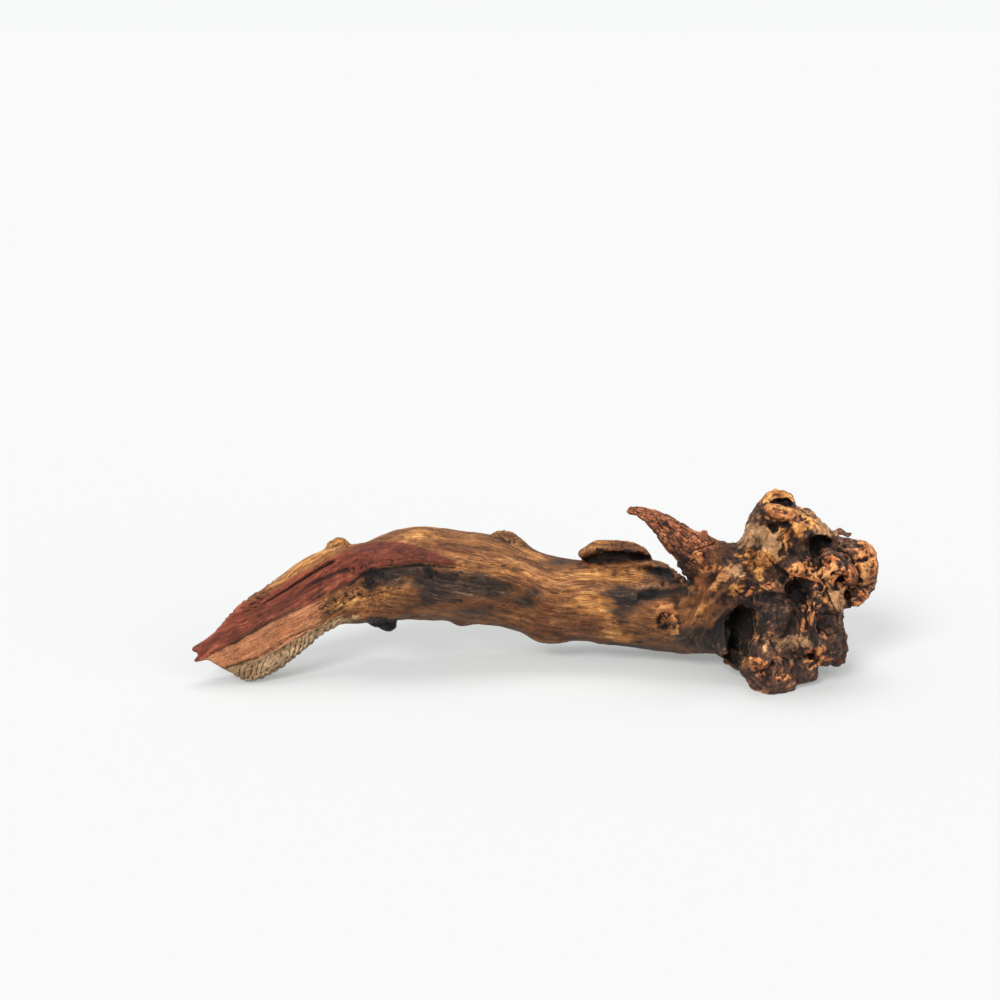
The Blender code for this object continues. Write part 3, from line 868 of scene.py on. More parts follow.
def carveRipple(points, at):
    # the pale strip is corrugated across the grain, and the split's upper edge is torn into small teeth
    x, y = at["x"], at["y"]
    below = belowLine(x, y, "sapLine")
    run = (x - splitFace["rippleFrom"]) * picture["pixel"] * 1.13 + 0.25 * below
    run = run + 3.0 * noise(points, 10, 91) + 1.2 * noise(points, 4, 97)
    wave = np.sin(2 * np.pi * run / splitFace["ripple"])
    wave = wave * (0.6 + 0.6 * ramp(noise(points, 10, 98), -0.4, 0.4))
    strip = ramp(below, 1.0, 4.5) * span(x, "rippleEnd") * span(x, "rippleStart")
    height = strip * (0.5 * wave + 0.45 * noise(points, 3, 92))
    teeth = np.floor(3 * noise(np.stack([x * 0.12, y * 0.3, 0 * x], axis=1), 1.0, 93)) / 3
    torn = ramp(-belowLine(x, y, "heartTop"), -7.0, -3.0) * span(x, "teethEnd") * span(x, "teethStart")
    return height + 1.8 * torn * teeth


# ridges and cracks drawn along the front: where they run in the picture, half width and push in mm
strokes = {
    "peak left": (((746, 556), (751, 535), (757, 515), (766, 499), (776, 490)), 2.4, 0.9),
    "lip crest": (((761, 510), (768, 506), (780, 507), (792, 511), (806, 519), (820, 530), (834, 538)),
        2.0, 1.4),
    "lip lower": (((764, 516), (772, 521), (783, 521), (794, 516)), 1.5, 0.7),
    "wedge crest": (((818, 520), (803, 523), (791, 530), (785, 541), (787, 554)), 2.0, 1.3),
    "cavity edge": (((755, 600), (760, 612), (759, 630), (755, 645), (751, 658)), 1.8, 2.0),
    "ledge crest": (((758, 628), (770, 622), (784, 613), (800, 606)), 1.7, 1.4),
    "thin root": (((797, 683), (807, 673), (816, 664), (826, 656), (838, 648)), 1.4, 1.6),
    "bottom rim": (((750, 682), (764, 686), (780, 683), (794, 675)), 2.0, 1.0),
    "flank a": (((690, 650), (708, 628), (728, 606), (750, 592)), 3.2, 1.3),
    "flank b": (((700, 612), (722, 592), (745, 576)), 2.6, 1.1),
    "flank c": (((672, 640), (690, 622), (706, 596), (722, 575)), 2.6, 0.9),
    "right root": (((836, 604), (846, 622), (845, 650)), 2.0, 1.2),
    "right top": (((822, 536), (838, 541), (852, 545), (866, 541)), 1.8, 1.0),
    "outer layer": (((455, 571), (462, 577), (480, 576), (495, 577), (512, 583), (528, 590), (538, 597)),
        1.2, 0.9),
    "pale line a": (((432, 565), (445, 568), (457, 570), (461, 577)), 0.9, 0.6),
    "pale line b": (((449, 560), (470, 562), (500, 563), (530, 562)), 0.9, 0.5),
    "ridge under the knots": (((345, 600), (357, 592), (368, 590), (385, 588), (400, 580), (411, 573)),
        2.0, 1.1),
    "flap edge": (((634, 563), (652, 565), (668, 571), (680, 580), (690, 590)), 1.3, 1.0),
    "swirl a": (((600, 640), (630, 641), (655, 633), (676, 612), (690, 598)), 3.2, 0.8),
    "swirl b": (((585, 620), (620, 627), (642, 624)), 2.6, 0.6),
    "belly ridge": (((490, 618), (520, 627), (548, 637), (566, 641)), 2.4, 0.7),
    "belly ridge b": (((470, 606), (510, 616), (550, 624), (590, 630)), 2.2, 0.6),
    "crack under the knots": (((362, 597), (370, 596), (380, 593), (390, 592), (399, 588.5)), 0.6, -1.1),
    "crack in the dark": (((438, 598), (448, 601), (462, 601)), 1.6, -0.7),
    "grey crack": (((766, 556), (775, 565), (781, 578)), 0.7, -0.8),
    "flank crack": (((736, 591), (741, 594), (746, 599)), 0.7, -1.4),
    "body crack": (((795, 612), (800, 625), (797, 640), (803, 655)), 0.8, -1.5),
    "slab crack": (((820, 614), (837, 615), (840, 631), (828, 637), (820, 628)), 0.8, -1.6),
    "right crack": (((826, 588), (830, 600), (835, 612)), 0.8, -1.5),
    "low crack": (((770, 640), (778, 655), (790, 662)), 0.8, -1.3),
    "dark crack": (((757, 585), (765, 592), (760, 600)), 0.8, -1.3),
    "between the ends": (((846, 557), (856, 561), (864, 560), (872, 556)), 1.6, -2.2),
    "behind the ends": (((833, 574), (840, 579), (845, 590), (850, 606)), 2.0, -3.4),
    "under the ends": (((848, 588), (858, 588), (868, 588), (876, 584)), 1.5, -2.2),
    "between the lobes": (((858, 566), (861, 576), (860, 588), (864, 592)), 1.5, -2.4),
    "above the ends": (((836, 549), (846, 551), (852, 556), (856, 564)), 1.8, -3.0),
    "left of the ends": (((818, 552), (820, 566), (819, 578), (826, 582), (836, 580)), 2.0, -3.0),
    "root gap": (((817, 604), (817.5, 618), (819, 632)), 1.0, -2.0),
    "root gap left": (((806, 606), (805, 618), (806.5, 630)), 0.9, -1.6),
    "branch crack a": (((655, 517), (663, 530)), 0.6, -1.4),
    "branch crack b": (((667, 521), (678, 536)), 0.6, -1.2),
    "branch crack c": (((690, 553), (704, 547), (714, 543)), 0.7, -1.6),
    "branch crack d": (((682, 533), (690, 540), (699, 546)), 0.5, -1.2),
    "branch edge": (((686, 566), (694, 556), (710, 549), (722, 546)), 1.0, 0.8),
}


def drawStrokes(points, at):
    # ridges and cracks, a little wavy, that fade towards faces turned away
    x = at["x"] + 1.3 * noise(points, 4, 81)
    y = at["y"] + 1.3 * noise(points, 4, 82)
    height = np.zeros(len(points))
    for line, width, push in strokes.values():
        height += push * np.clip(1 - besideBy(x, y, line) / width, 0, 1) ** (1.5 if push > 0 else 0.8)
    return height * at["front"] * (points[:, 1] < seenDepth)


rootHeart = (146, 10, 56)  # the grain of every root runs out from here


def rootLines(points):
    # the grain of the crown runs out from its heart: how far in, and the direction spread flat
    out = points + 2.5 * np.stack([noise(points, 13, seed) for seed in (63, 64, 65)], axis=1) - rootHeart
    far = np.linalg.norm(out, axis=1, keepdims=True) + 1e-6
    way = out / far
    return np.hstack([300 - far, 60 * way[:, 1:] / (1.3 + way[:, :1])])


def carveCrown(points, at):
    # sharp ridges that run up and down, strongest where the wood is broken
    drift = np.stack([noise(points, 11, seed) for seed in (32, 33, 34)], axis=1) * 3.5
    flow = (points + drift) * (1, 1, 0.5)
    ridges = 1.1 * (1 - np.abs(noise(flow, 8.0, 30))) ** 4
    ridges = ridges + 0.25 * (1 - np.abs(noise(flow, 3.6, 31))) ** 3 - 0.6
    edge, number = plates((points + 1.6 * drift) * (1, 1, 0.6), 6.5, 37)
    ridges += 0.4 * (((number >> 4) & 63) / 31.5 - 1) - 0.15 * ramp(edge, 0.5, 0.0)
    lines = rootLines(points)
    ridges += 0.75 * noise(lines * (0.16, 1, 1), 4.2, 40)
    fine = 0.34 * noise(lines * (0.12, 1, 1), 2.0, 36) + 0.12 * noise(points, 1.5, 38)
    calm = np.maximum(toneOf(points, at, "gold", borders["others"]), toneOf(points, at, "grey"))
    return ridges * (0.3 + 0.7 * ruggedOf(points, at)) * (1 - 0.7 * calm) + fine * (1 - 0.4 * calm)


def carveBranch(at):
    # long cubical plates, split along and across the branch
    twig = at["twig"]
    spots = twig * (0.42, 1, 1) + 0.5 * noise(twig, 9, 41)[:, None]
    edge, number = plates(spots, 3.6, 42, square=True)
    height = 0.4 * (((number >> 4) & 63) / 31.5 - 1) - 0.7 * ramp(edge, 0.6, 0.0)
    return height + 0.35 * noise(twig * (0.12, 1, 1), 2.2, 43) + 0.5 * noise(twig * (0.2, 1, 1), 5, 44)


splinterTips = (-188, -174)  # the relief fades towards the tips


def carve(body):
    # adds up the relief of each part and moves the points along their normals by it
    mesh = body.data
    points, normals = readPoints(mesh), readNormals(mesh)
    at = placesOf(points, normals)
    face = at["front"] * span(at["x"], "fluted")
    height = np.zeros(len(points))
    onStem = (1 - at["crown"]) * (1 - at["branch"])
    height += onStem * (carveGrain(points, at) * (1 - face) + carveFace(points, at) * face)
    height += carveSplit(at)
    height += carveRipple(points, at)
    height += drawStrokes(points, at)
    knots = np.maximum(toneOf(points, at, "knot"), 0.55 * toneOf(points, at, "torn"))
    height += knots * (1.6 * (1 - 2 * np.abs(noise(points, 3.2, 45))) + 0.5 * noise(points, 1.6, 46))
    chosen = np.where(at["crown"] > 0)[0]
    there = {name: value[chosen] for name, value in at.items()}
    height[chosen] += there["crown"] * carveCrown(points[chosen], there)
    chosen = np.where(at["branch"] > 0)[0]
    twigs = {"twig": at["twig"][chosen]}
    height[chosen] += at["branch"][chosen] * carveBranch(twigs)
    tips = ramp(points[:, 0], *splinterTips) * 0.85 + 0.15
    movePoints(mesh, points + normals * (height * tips)[:, None])
    print("relief carved")


def thin(body, triangles):
    # joins the smallest faces until about this many triangles are left
    lighter = body.modifiers.new("thin", "DECIMATE")
    lighter.use_collapse_triangulate = True
    lighter.ratio = triangles / (2 * len(body.data.polygons))
    settle(body)


def standOnFloor(body):
    # cuts off what lies below the floor, and closes the flats that it leaves
    bm = bmesh.new()
    bm.from_mesh(body.data)
    everything = bm.verts[:] + bm.edges[:] + bm.faces[:]
    cut = bmesh.ops.bisect_plane(bm, geom=everything, plane_co=(0, 0, 0), plane_no=(0, 0, -1),
                                 clear_outer=True)
    rim = [e for e in cut["geom_cut"] if isinstance(e, bmesh.types.BMEdge)]
    bmesh.ops.holes_fill(bm, edges=rim, sides=0)
    bmesh.ops.triangulate(bm, faces=bm.faces)
    bm.to_mesh(body.data)
    bm.free()


# steps of smoothing that find the crevices and the valleys, and how much their depth in mm counts; they
# drive the painted shade in crevices and valleys and the painted highlight on edges
shadeSmoothing = {
    "creviceSteps": 5, "valleySteps": 40, "crevice": 1.6, "valley": 0.35,
}

underStub = (-91, 28, 21)  # the middle of the stub under the stem, around which the dark tone is laid as painted shade


def smoothed(values, edges, counts, passes):
    # each pass draws a point halfway to the mean of its neighbours
    for _ in range(passes):
        total = np.empty_like(values)
        for axis in range(values.shape[1]):
            column = values[:, axis]
            total[:, axis] = np.bincount(edges[:, 0], column[edges[:, 1]], len(values))
            total[:, axis] += np.bincount(edges[:, 1], column[edges[:, 0]], len(values))
        values = 0.5 * values + 0.5 * total / counts[:, None]
    return values


def layTonesAndShade(body):
    # keeps at each point how much of each tone it carries, how hollow it lies for the painted shade and
    # highlight, and its place in the grain
    mesh = body.data
    points, normals = readPoints(mesh), readNormals(mesh)
    at = placesOf(points, normals)
    x, y, front = at["x"], at["y"], at["front"]
    edges = np.empty(len(mesh.edges) * 2, np.int32)
    mesh.edges.foreach_get("vertices", edges)
    edges = edges.reshape(-1, 2)
    counts = np.bincount(edges.ravel(), minlength=len(points)).astype(float)
    near = smoothed(points, edges, counts, shadeSmoothing["creviceSteps"])
    far = smoothed(near, edges, counts, shadeSmoothing["valleySteps"])
    crevice = ((near - points) * normals).sum(1)
    valley = ((far - points) * normals).sum(1)

    def inside(way):
        # 0.5 at a border, rising over the width of the border
        return np.clip(0.5 + way / borders["face"], 0, 1)

    top = belowLine(x, y, "heartTop")
    lower = np.where(x < splitFace["tailFrom"], belowLine(x, y, "step"), belowLine(x, y, "tailLine"))
    heart = inside(np.minimum(top, -lower)) * span(x, "heartEnd")
    plane = inside(np.minimum(belowLine(x, y, "step"), -belowLine(x, y, "sapLine")))
    plane *= span(x + 9 * noise(points, 7, 53), "planeEnd")
    sap = inside(belowLine(x, y, "sapLine")) * span(x, "sapEnd")

    # the faces that the picture doesn't show carry the same tones by chance
    chance = noise(at["grain"] * (0.35, 1, 1), 26, 51)
    luck = noise(points, 17, 52)
    behind = 1 - front
    crown = np.maximum(at["crown"], at["branch"])
    weatheredAndShaded = toneOf(points, at, "weatheredAndShaded") + behind * np.clip(0.45 + chance * 0.9, 0, 1)
    values = {
        "heart": heart * front,
        "plane": plane * front,
        "sap": sap * front + behind * ramp(at["grain"][:, 0], 95, 60) * ramp(chance, -0.2, 0.4),
        # and all round the stub under the stem, as painted shade
        "weatheredAndShaded": np.maximum(weatheredAndShaded, ramp(np.linalg.norm(points - underStub, axis=1), 15, 9)),
        "gold": toneOf(points, at, "gold") + behind * np.clip(0.35 - chance * 0.9, 0, 1),
        "russet": toneOf(points, at, "russet") + behind * np.clip(0.2 + luck * 0.9, 0, 1) * (1 - crown),
        "amber": toneOf(points, at, "amber") + behind * crown * np.clip(0.05 + luck * 0.9, 0, 0.7),
        "grey": toneOf(points, at, "grey") + behind * crown * np.clip(0.3 - luck * 1.1, 0, 1),
        "bark": crown,
        "branch": at["branch"],
        "blackShade": toneOf(points, at, "blackShade"),
        "tail": span(x, "shadedTail") * front,
        "block": (blocksOf(points, 5.5, 35)[1] & 1023) / 1023,
        "crevice": np.clip(0.5 + crevice * shadeSmoothing["crevice"], 0, 1),
        "valley": np.clip(0.5 + valley * shadeSmoothing["valley"], 0, 1),
    }
    for name, value in values.items():
        stored = mesh.attributes.new(name, "FLOAT", "POINT")
        stored.data.foreach_set("value", value.astype(np.float32))
    lines = grainLines(points, at)
    inCrown = at["crown"][:, None]
    lines = lines * (1 - inCrown) + rootLines(points) * inCrown
    twig = at["twig"]
    lines = lines * (1 - at["branch"][:, None]) + (twig + (400, 0, 0)) * at["branch"][:, None]
    stored = mesh.attributes.new("grain", "FLOAT_VECTOR", "POINT")
    stored.data.foreach_set("vector", lines.astype(np.float32).ravel())
    print("tones laid")


def moveToFrame(body):
    # from the grid's millimetres to the frame's metres
    points = (readPoints(body.data) - gridToFrame) * mm
    movePoints(body.data, points)
    body.data.shade_smooth()


def put(tree, kind, **settings):
    # one node, with its settings, and its inputs set or linked
    node = tree.nodes.new(kind)
    inputs = settings.pop("inputs", {})
    for name, value in settings.items():
        setattr(node, name, value)
    for name, value in inputs.items():
        if isinstance(value, bpy.types.NodeSocket):
            tree.links.new(value, node.inputs[name])
        else:
            node.inputs[name].default_value = value
    return node


def mathNode(tree, operation, first, second=0.0, clamp=False):
    node = put(tree, "ShaderNodeMath", operation=operation, use_clamp=clamp, inputs={0: first, 1: second})
    return node.outputs[0]


def times(tree, first, second, clamp=False):
    return mathNode(tree, "MULTIPLY", first, second, clamp)


def plus(tree, first, second):
    return mathNode(tree, "ADD", first, second)


def less(tree, first, second):
    return mathNode(tree, "SUBTRACT", first, second)


def highest(tree, first, *others):
    for other in others:
        first = mathNode(tree, "MAXIMUM", first, other)
    return first


def mapped(tree, value, low, high, outLow=0.0, outHigh=1.0, kind="SMOOTHSTEP"):
    ends = {"From Min": low, "From Max": high, "To Min": outLow, "To Max": outHigh}
    node = put(tree, "ShaderNodeMapRange", interpolation_type=kind, inputs={"Value": value, **ends})
    return node.outputs["Result"]


def spread(tree, value, low, high, outLow=0.0, outHigh=1.0):
    # the same along a straight line
    return mapped(tree, value, low, high, outLow, outHigh, "LINEAR")


def blend(tree, first, second, share):
    return plus(tree, times(tree, first, share), times(tree, second, 1 - share))


def mixed(tree, factor, first, second, kind="MIX"):
    # one colour over another, each a socket or a plain colour
    node = put(tree, "ShaderNodeMix", data_type="RGBA", blend_type=kind)
    for name, value in ((0, factor), (6, first), (7, second)):
        if isinstance(value, bpy.types.NodeSocket):
            tree.links.new(value, node.inputs[name])
        elif name == 0:
            node.inputs[0].default_value = value
        else:
            node.inputs[name].default_value = (*value, 1)
    return node.outputs[2]


def tinted(tree, colour, tint):
    return mixed(tree, 1.0, colour, tint, "MULTIPLY")


def colourRamp(tree, factor, stops):
    node = put(tree, "ShaderNodeValToRGB", inputs={"Fac": factor})
    while len(node.color_ramp.elements) < len(stops):
        node.color_ramp.elements.new(0.5)
    for element, (place, colour) in zip(node.color_ramp.elements, stops):
        element.position = place
        element.color = (*colour, 1)
    return node.outputs["Color"]


def stretched(tree, vector, factors):
    return put(tree, "ShaderNodeMapping", inputs={"Vector": vector, "Scale": factors}).outputs["Vector"]


def layer(tree, name, vector=False):
    # what layTonesAndShade keeps at each point under this name
    node = put(tree, "ShaderNodeAttribute", attribute_name=name)
    return node.outputs["Vector" if vector else "Fac"]


def vectorMath(tree, operation, inputs):
    return put(tree, "ShaderNodeVectorMath", operation=operation, inputs=inputs).outputs[0]


def swayed(tree, vector, scale, amount):
    # the vector pushed about by a soft noise
    push = put(tree, "ShaderNodeTexNoise", inputs={"Vector": vector, "Scale": scale, "Detail": 2.0})
    push = vectorMath(tree, "SUBTRACT", {0: push.outputs["Color"], 1: (0.5, 0.5, 0.5)})
    push = vectorMath(tree, "SCALE", {0: push, "Scale": amount})
    return vectorMath(tree, "ADD", {0: vector, 1: push})


def crackLines(tree, vector, scale, width):
    # 0 in a net of thin cracks, 1 between them
    cells = put(tree, "ShaderNodeTexVoronoi", feature="DISTANCE_TO_EDGE",
                inputs={"Vector": vector, "Scale": scale})
    return mapped(tree, cells.outputs["Distance"], 0.0, width)


# each wood tone: colours from its dark lines to its bright ones
woodColours = {
    "stem": ((0.0, (0.076, 0.024, 0.007)), (0.3, (0.18, 0.064, 0.019)),
             (0.6, (0.335, 0.13, 0.039)), (1.0, (0.605, 0.284, 0.1))),
    "gold": ((0.0, (0.13, 0.042, 0.009)), (0.3, (0.3, 0.11, 0.026)),
             (0.6, (0.53, 0.22, 0.058)), (1.0, (0.89, 0.48, 0.164))),
    "russet": ((0.0, (0.06, 0.017, 0.005)), (0.3, (0.14, 0.044, 0.013)),
               (0.6, (0.25, 0.083, 0.026)), (1.0, (0.45, 0.185, 0.062))),
    "heart": ((0.0, (0.1, 0.02, 0.01)), (0.3, (0.214, 0.046, 0.023)),
              (0.6, (0.353, 0.085, 0.041)), (1.0, (0.58, 0.18, 0.092))),
    "plane": ((0.0, (0.234, 0.074, 0.028)), (0.3, (0.43, 0.154, 0.064)),
              (0.6, (0.624, 0.253, 0.11)), (1.0, (0.936, 0.5, 0.264))),
    "sap": ((0.0, (0.156, 0.086, 0.038)), (0.3, (0.35, 0.21, 0.106)),
            (0.6, (0.56, 0.35, 0.186)), (1.0, (0.86, 0.605, 0.36))),
    "weatheredAndShaded": ((0.0, (0.005, 0.0025, 0.0017)), (0.35, (0.017, 0.0084, 0.0054)),
                  (0.7, (0.074, 0.039, 0.023)), (1.0, (0.24, 0.13, 0.07))),
    "bark": ((0.0, (0.007, 0.003, 0.002)), (0.35, (0.039, 0.017, 0.01)),
             (0.7, (0.103, 0.045, 0.024)), (1.0, (0.31, 0.146, 0.068))),
    "grey": ((0.0, (0.11, 0.057, 0.027)), (0.35, (0.346, 0.18, 0.084)),
             (0.7, (0.673, 0.36, 0.168)), (1.0, (0.95, 0.686, 0.33))),
    "branch": ((0.0, (0.027, 0.0087, 0.0042)), (0.35, (0.135, 0.044, 0.019)),
               (0.7, (0.315, 0.11, 0.048)), (1.0, (0.594, 0.27, 0.126))),
    "amber": ((0.0, (0.063, 0.0175, 0.0055)), (0.3, (0.248, 0.075, 0.023)),
              (0.6, (0.494, 0.165, 0.05)), (1.0, (0.767, 0.378, 0.136))),
}

# the noises in the wood: how much it is drawn along and across the grain, per mm, or None where it has no
# grain; its scale (per metre without grain), detail, roughness, twist, and the values that become 0 and 1
woodNoises = {
    "broad": ((0.02, 0.14), 1.0, 3.0, 0.5, 0.3, 0.36, 0.66),
    "streaks": ((0.04, 0.6), 1.0, 6.0, 0.62, 0.4, 0.34, 0.68),
    "hair": ((0.11, 2.2), 1.0, 5.0, 0.65, 0.6, 0.34, 0.68),
    "checks": ((0.011, 0.32), 1.0, 1.0, 0.4, 0.0, 0.0, 1.0),
    "clouds": (None, 90.0, 5.0, 0.6, 0.0, 0.0, 1.0),
    "swells": (None, 75.0, 3.0, 0.5, 0.3, 0.32, 0.68),
    "lumps": (None, 230.0, 7.0, 0.66, 0.2, 0.36, 0.66),
    "grit": (None, 1100.0, 4.0, 0.65, 0.0, 0.34, 0.68),
}

woodFinish = {
    "stray": 0.8,  # how far a tone's border strays with the pattern
    "raggedStray": 0.6,  # and how much of that on the crown's gold and amber
    # the dark of cracks; also the near black of the painted shade in hollows and under overhangs
    "crack": (0.008, 0.005, 0.004),
    # painted shade in the crevices
    "creviceShade": (0.006, 0.004, 0.003),
    # tints: what multiplies the colour there
    "crownGold": (0.97, 0.92, 0.84),
    # painted shade on the heart's tail, a groove
    "tailShadeTint": (0.55, 0.46, 0.42),
    # painted highlight on the bark's convex edges
    "edgeHighlightTint": (2.4, 2.0, 1.7),
    # painted shade in the valleys
    "valley": (0.16, 0.11, 0.09),
    "roughness": (0.62, 0.42),  # on the darkest and on the palest wood
    "specular": 0.35,
    "bump": 0.85,
    "bumpHeight": 0.0007,
}


def woodPatterns(tree):
    # the noises, and the two patterns that they blend into: drawn out along the grain, and knobbly on bark
    grain = layer(tree, "grain", vector=True)
    place = put(tree, "ShaderNodeTexCoord").outputs["Object"]
    found = {"grain": grain, "place": place}
    for name, (drawn, scale, detail, rough, twist, low, high) in woodNoises.items():
        vector = stretched(tree, grain, (drawn[0], drawn[1], drawn[1])) if drawn else place
        node = put(tree, "ShaderNodeTexNoise", inputs={"Vector": vector, "Scale": scale, "Detail": detail,
                                                       "Roughness": rough, "Distortion": twist})
        found[name] = spread(tree, node.outputs["Fac"], low, high)
    fine = blend(tree, found["lumps"], found["grit"], 0.6)
    coarse = blend(tree, found["broad"], found["streaks"], 0.4)
    line = blend(tree, coarse, blend(tree, found["hair"], fine, 0.6), 0.5)
    found["line"] = spread(tree, line, 0.25, 0.75)
    bark = blend(tree, blend(tree, found["swells"], found["line"], 0.4), fine, 0.7)
    block = times(tree, less(tree, layer(tree, "block"), 0.5), 0.35)
    found["bark"] = plus(tree, spread(tree, bark, 0.18, 0.78), block)
    return found


def strayed(tree, amount, stray):
    # the stray works on a tone's border, less inside it and not outside it
    held = times(tree, amount, 2.5, True)
    held = times(tree, held, spread(tree, amount, 0.5, 1.0, 1.0, 0.45))
    return plus(tree, amount, times(tree, stray, held))


def lay(tree, under, name, pattern, stray, low=0.42, high=0.58):
    # lays a tone over the colour where its area is
    share = mapped(tree, strayed(tree, layer(tree, name), stray), low, high)
    return mixed(tree, share, under, colourRamp(tree, pattern, woodColours[name]))


def woodTones(tree, found, onBark):
    # one tone over another; the crown's gold and amber are painted lighter on its convex edges and darker in
    # its crevices, as painted highlight and shade; gives the colour, and where it is bright
    line, bark = found["line"], found["bark"]
    wiggle = times(tree, less(tree, line, 0.5), woodFinish["stray"])
    rough = times(tree, less(tree, bark, 0.5), woodFinish["stray"])
    ragged = times(tree, rough, woodFinish["raggedStray"])
    colour = colourRamp(tree, line, woodColours["stem"])
    colour = lay(tree, colour, "gold", line, wiggle, 0.25, 0.85)
    colour = lay(tree, colour, "russet", line, wiggle, 0.25, 0.85)
    colour = lay(tree, colour, "bark", bark, rough, 0.3, 0.8)
    colour = lay(tree, colour, "grey", blend(tree, bark, 0.55, 0.5), rough, 0.25, 0.75)
    colour = lay(tree, colour, "branch", bark, rough)
    colour = lay(tree, colour, "weatheredAndShaded", line, wiggle, 0.3, 0.7)
    # painted highlight and shade: convex edges lighter, crevices darker, in the crown's gold and amber
    edge = mapped(tree, layer(tree, "crevice"), 0.62, 0.38)
    lit = plus(tree, bark, spread(tree, edge, 0.0, 1.0, -0.34, 0.16))
    gilded = times(tree, times(tree, layer(tree, "gold"), onBark), spread(tree, edge, 0.0, 1.0, 0.85, 1.15))
    colour = mixed(tree, mapped(tree, strayed(tree, gilded, ragged), 0.25, 0.75), colour,
                   tinted(tree, colourRamp(tree, lit, woodColours["gold"]), woodFinish["crownGold"]))
    warm = times(tree, layer(tree, "amber"), spread(tree, edge, 0.0, 1.0, 0.7, 1.2))
    colour = mixed(tree, mapped(tree, strayed(tree, warm, ragged), 0.2, 0.7), colour,
                   colourRamp(tree, lit, woodColours["amber"]))
    colour = lay(tree, colour, "sap", line, wiggle)
    colour = lay(tree, colour, "plane", blend(tree, line, found["grit"], 0.6), wiggle)
    colour = lay(tree, colour, "heart", line, wiggle)
    # painted shade: the heart's tail, a groove, is darker
    tailShade = times(tree, mapped(tree, layer(tree, "heart"), 0.4, 0.6), layer(tree, "tail"))
    colour = mixed(tree, tailShade, colour, tinted(tree, colour, woodFinish["tailShadeTint"]))
    # painted shade: the hollows and the undersides go near black
    share = mapped(tree, strayed(tree, layer(tree, "blackShade"), rough), 0.3, 0.7, 0.0, 0.95)
    return mixed(tree, share, colour, woodFinish["crack"]), highest(tree, gilded, warm, layer(tree, "grey"))


def woodCracks(tree, found, onBark, onBranch):
    # 1 where the wood is whole and 0 in thin cracks: long ones along the grain, a net on the bark, and
    # blocks on the branch
    grain, place = found["grain"], found["place"]
    checks = mathNode(tree, "ABSOLUTE", less(tree, found["checks"], 0.5))
    checks = highest(tree, mapped(tree, checks, 0.0, 0.009), mapped(tree, found["broad"], 0.3, 0.6), onBark)
    sound = mapped(tree, layer(tree, "grey"), 0.3, 0.7, 1.0, 0.15)
    net = crackLines(tree, swayed(tree, place, 130.0, 0.008), 125.0, 0.035)
    net = highest(tree, net, times(tree, mapped(tree, found["clouds"], 0.46, 0.54), sound),
                  less(tree, 1.0, mapped(tree, onBark, 0.3, 0.7)), onBranch)
    blocks = crackLines(tree, swayed(tree, stretched(tree, grain, (0.13, 0.34, 0.34)), 1.2, 0.5), 1.0, 0.09)
    blocks = highest(tree, blocks, less(tree, 1.0, mapped(tree, onBranch, 0.3, 0.7)))
    return mathNode(tree, "MINIMUM", mathNode(tree, "MINIMUM", checks, net), blocks)


def woodPaintedLight(tree, colour, found, onBark, bright):
    # painted highlight on the bark's convex edges, painted shade in crevices and valleys, and soft clouds
    # over all of it
    crevice = layer(tree, "crevice")
    # painted highlight: the bark's convex edges are painted paler
    edgeHighlight = times(tree, mapped(tree, crevice, 0.48, 0.25, 0.0, 0.6), onBark)
    edgeHighlight = times(tree, edgeHighlight, mapped(tree, bright, 0.2, 0.6, 1.0, 0.2))
    colour = mixed(tree, edgeHighlight, colour, tinted(tree, colour, woodFinish["edgeHighlightTint"]))
    # painted shade: the crevices go dark
    colour = mixed(tree, mapped(tree, crevice, 0.54, 1.0, 0.0, 0.9), colour, woodFinish["creviceShade"])
    # painted shade: the valleys go darker, most on the crown
    valleyShade = mapped(tree, layer(tree, "valley"), 0.52, 0.95)
    valleyShade = times(tree, valleyShade, mapped(tree, onBark, 0.0, 1.0, 0.4, 0.85))
    colour = mixed(tree, valleyShade, colour, tinted(tree, colour, woodFinish["valley"]))
    spots = spread(tree, found["clouds"], 0.3, 0.7, 0.72, 1.28)
    cloudy = put(tree, "ShaderNodeCombineColor", inputs={"Red": spots, "Green": spots, "Blue": spots})
    return tinted(tree, colour, cloudy.outputs["Color"])


def woodMaterial():
    made = bpy.data.materials.new("bogWood")
    made.use_nodes = True
    tree = made.node_tree
    surface = tree.nodes["Principled BSDF"]
    onBark, onBranch = layer(tree, "bark"), layer(tree, "branch")
    found = woodPatterns(tree)
    colour, bright = woodTones(tree, found, onBark)
    whole = woodCracks(tree, found, onBark, onBranch)
    colour = mixed(tree, spread(tree, whole, 0.0, 1.0, 0.7, 0.0), colour, woodFinish["crack"])
    colour = woodPaintedLight(tree, colour, found, onBark, bright)
    height = plus(tree, times(tree, found["line"], less(tree, 1.0, onBark)),
                  times(tree, found["bark"], plus(tree, onBark, 0.2)))
    height = plus(tree, height, times(tree, whole, 0.4))
    bump = put(tree, "ShaderNodeBump", inputs={"Strength": woodFinish["bump"],
                                               "Distance": woodFinish["bumpHeight"], "Height": height})
    tree.links.new(colour, surface.inputs["Base Color"])
    roughness = spread(tree, found["bark"], 0.0, 1.0, *woodFinish["roughness"])
    tree.links.new(roughness, surface.inputs["Roughness"])
    tree.links.new(bump.outputs["Normal"], surface.inputs["Normal"])
    surface.inputs["Specular IOR Level"].default_value = woodFinish["specular"]
    return made


def makeTrunk():
    body = makeBody()
    carve(body)
    thin(body, skin["triangles"])
    standOnFloor(body)
    layTonesAndShade(body)
    moveToFrame(body)
    body.data.materials.append(woodMaterial())
    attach(body, "root")
    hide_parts("trunk")
    print("trunk:", len(body.data.polygons), "triangles")


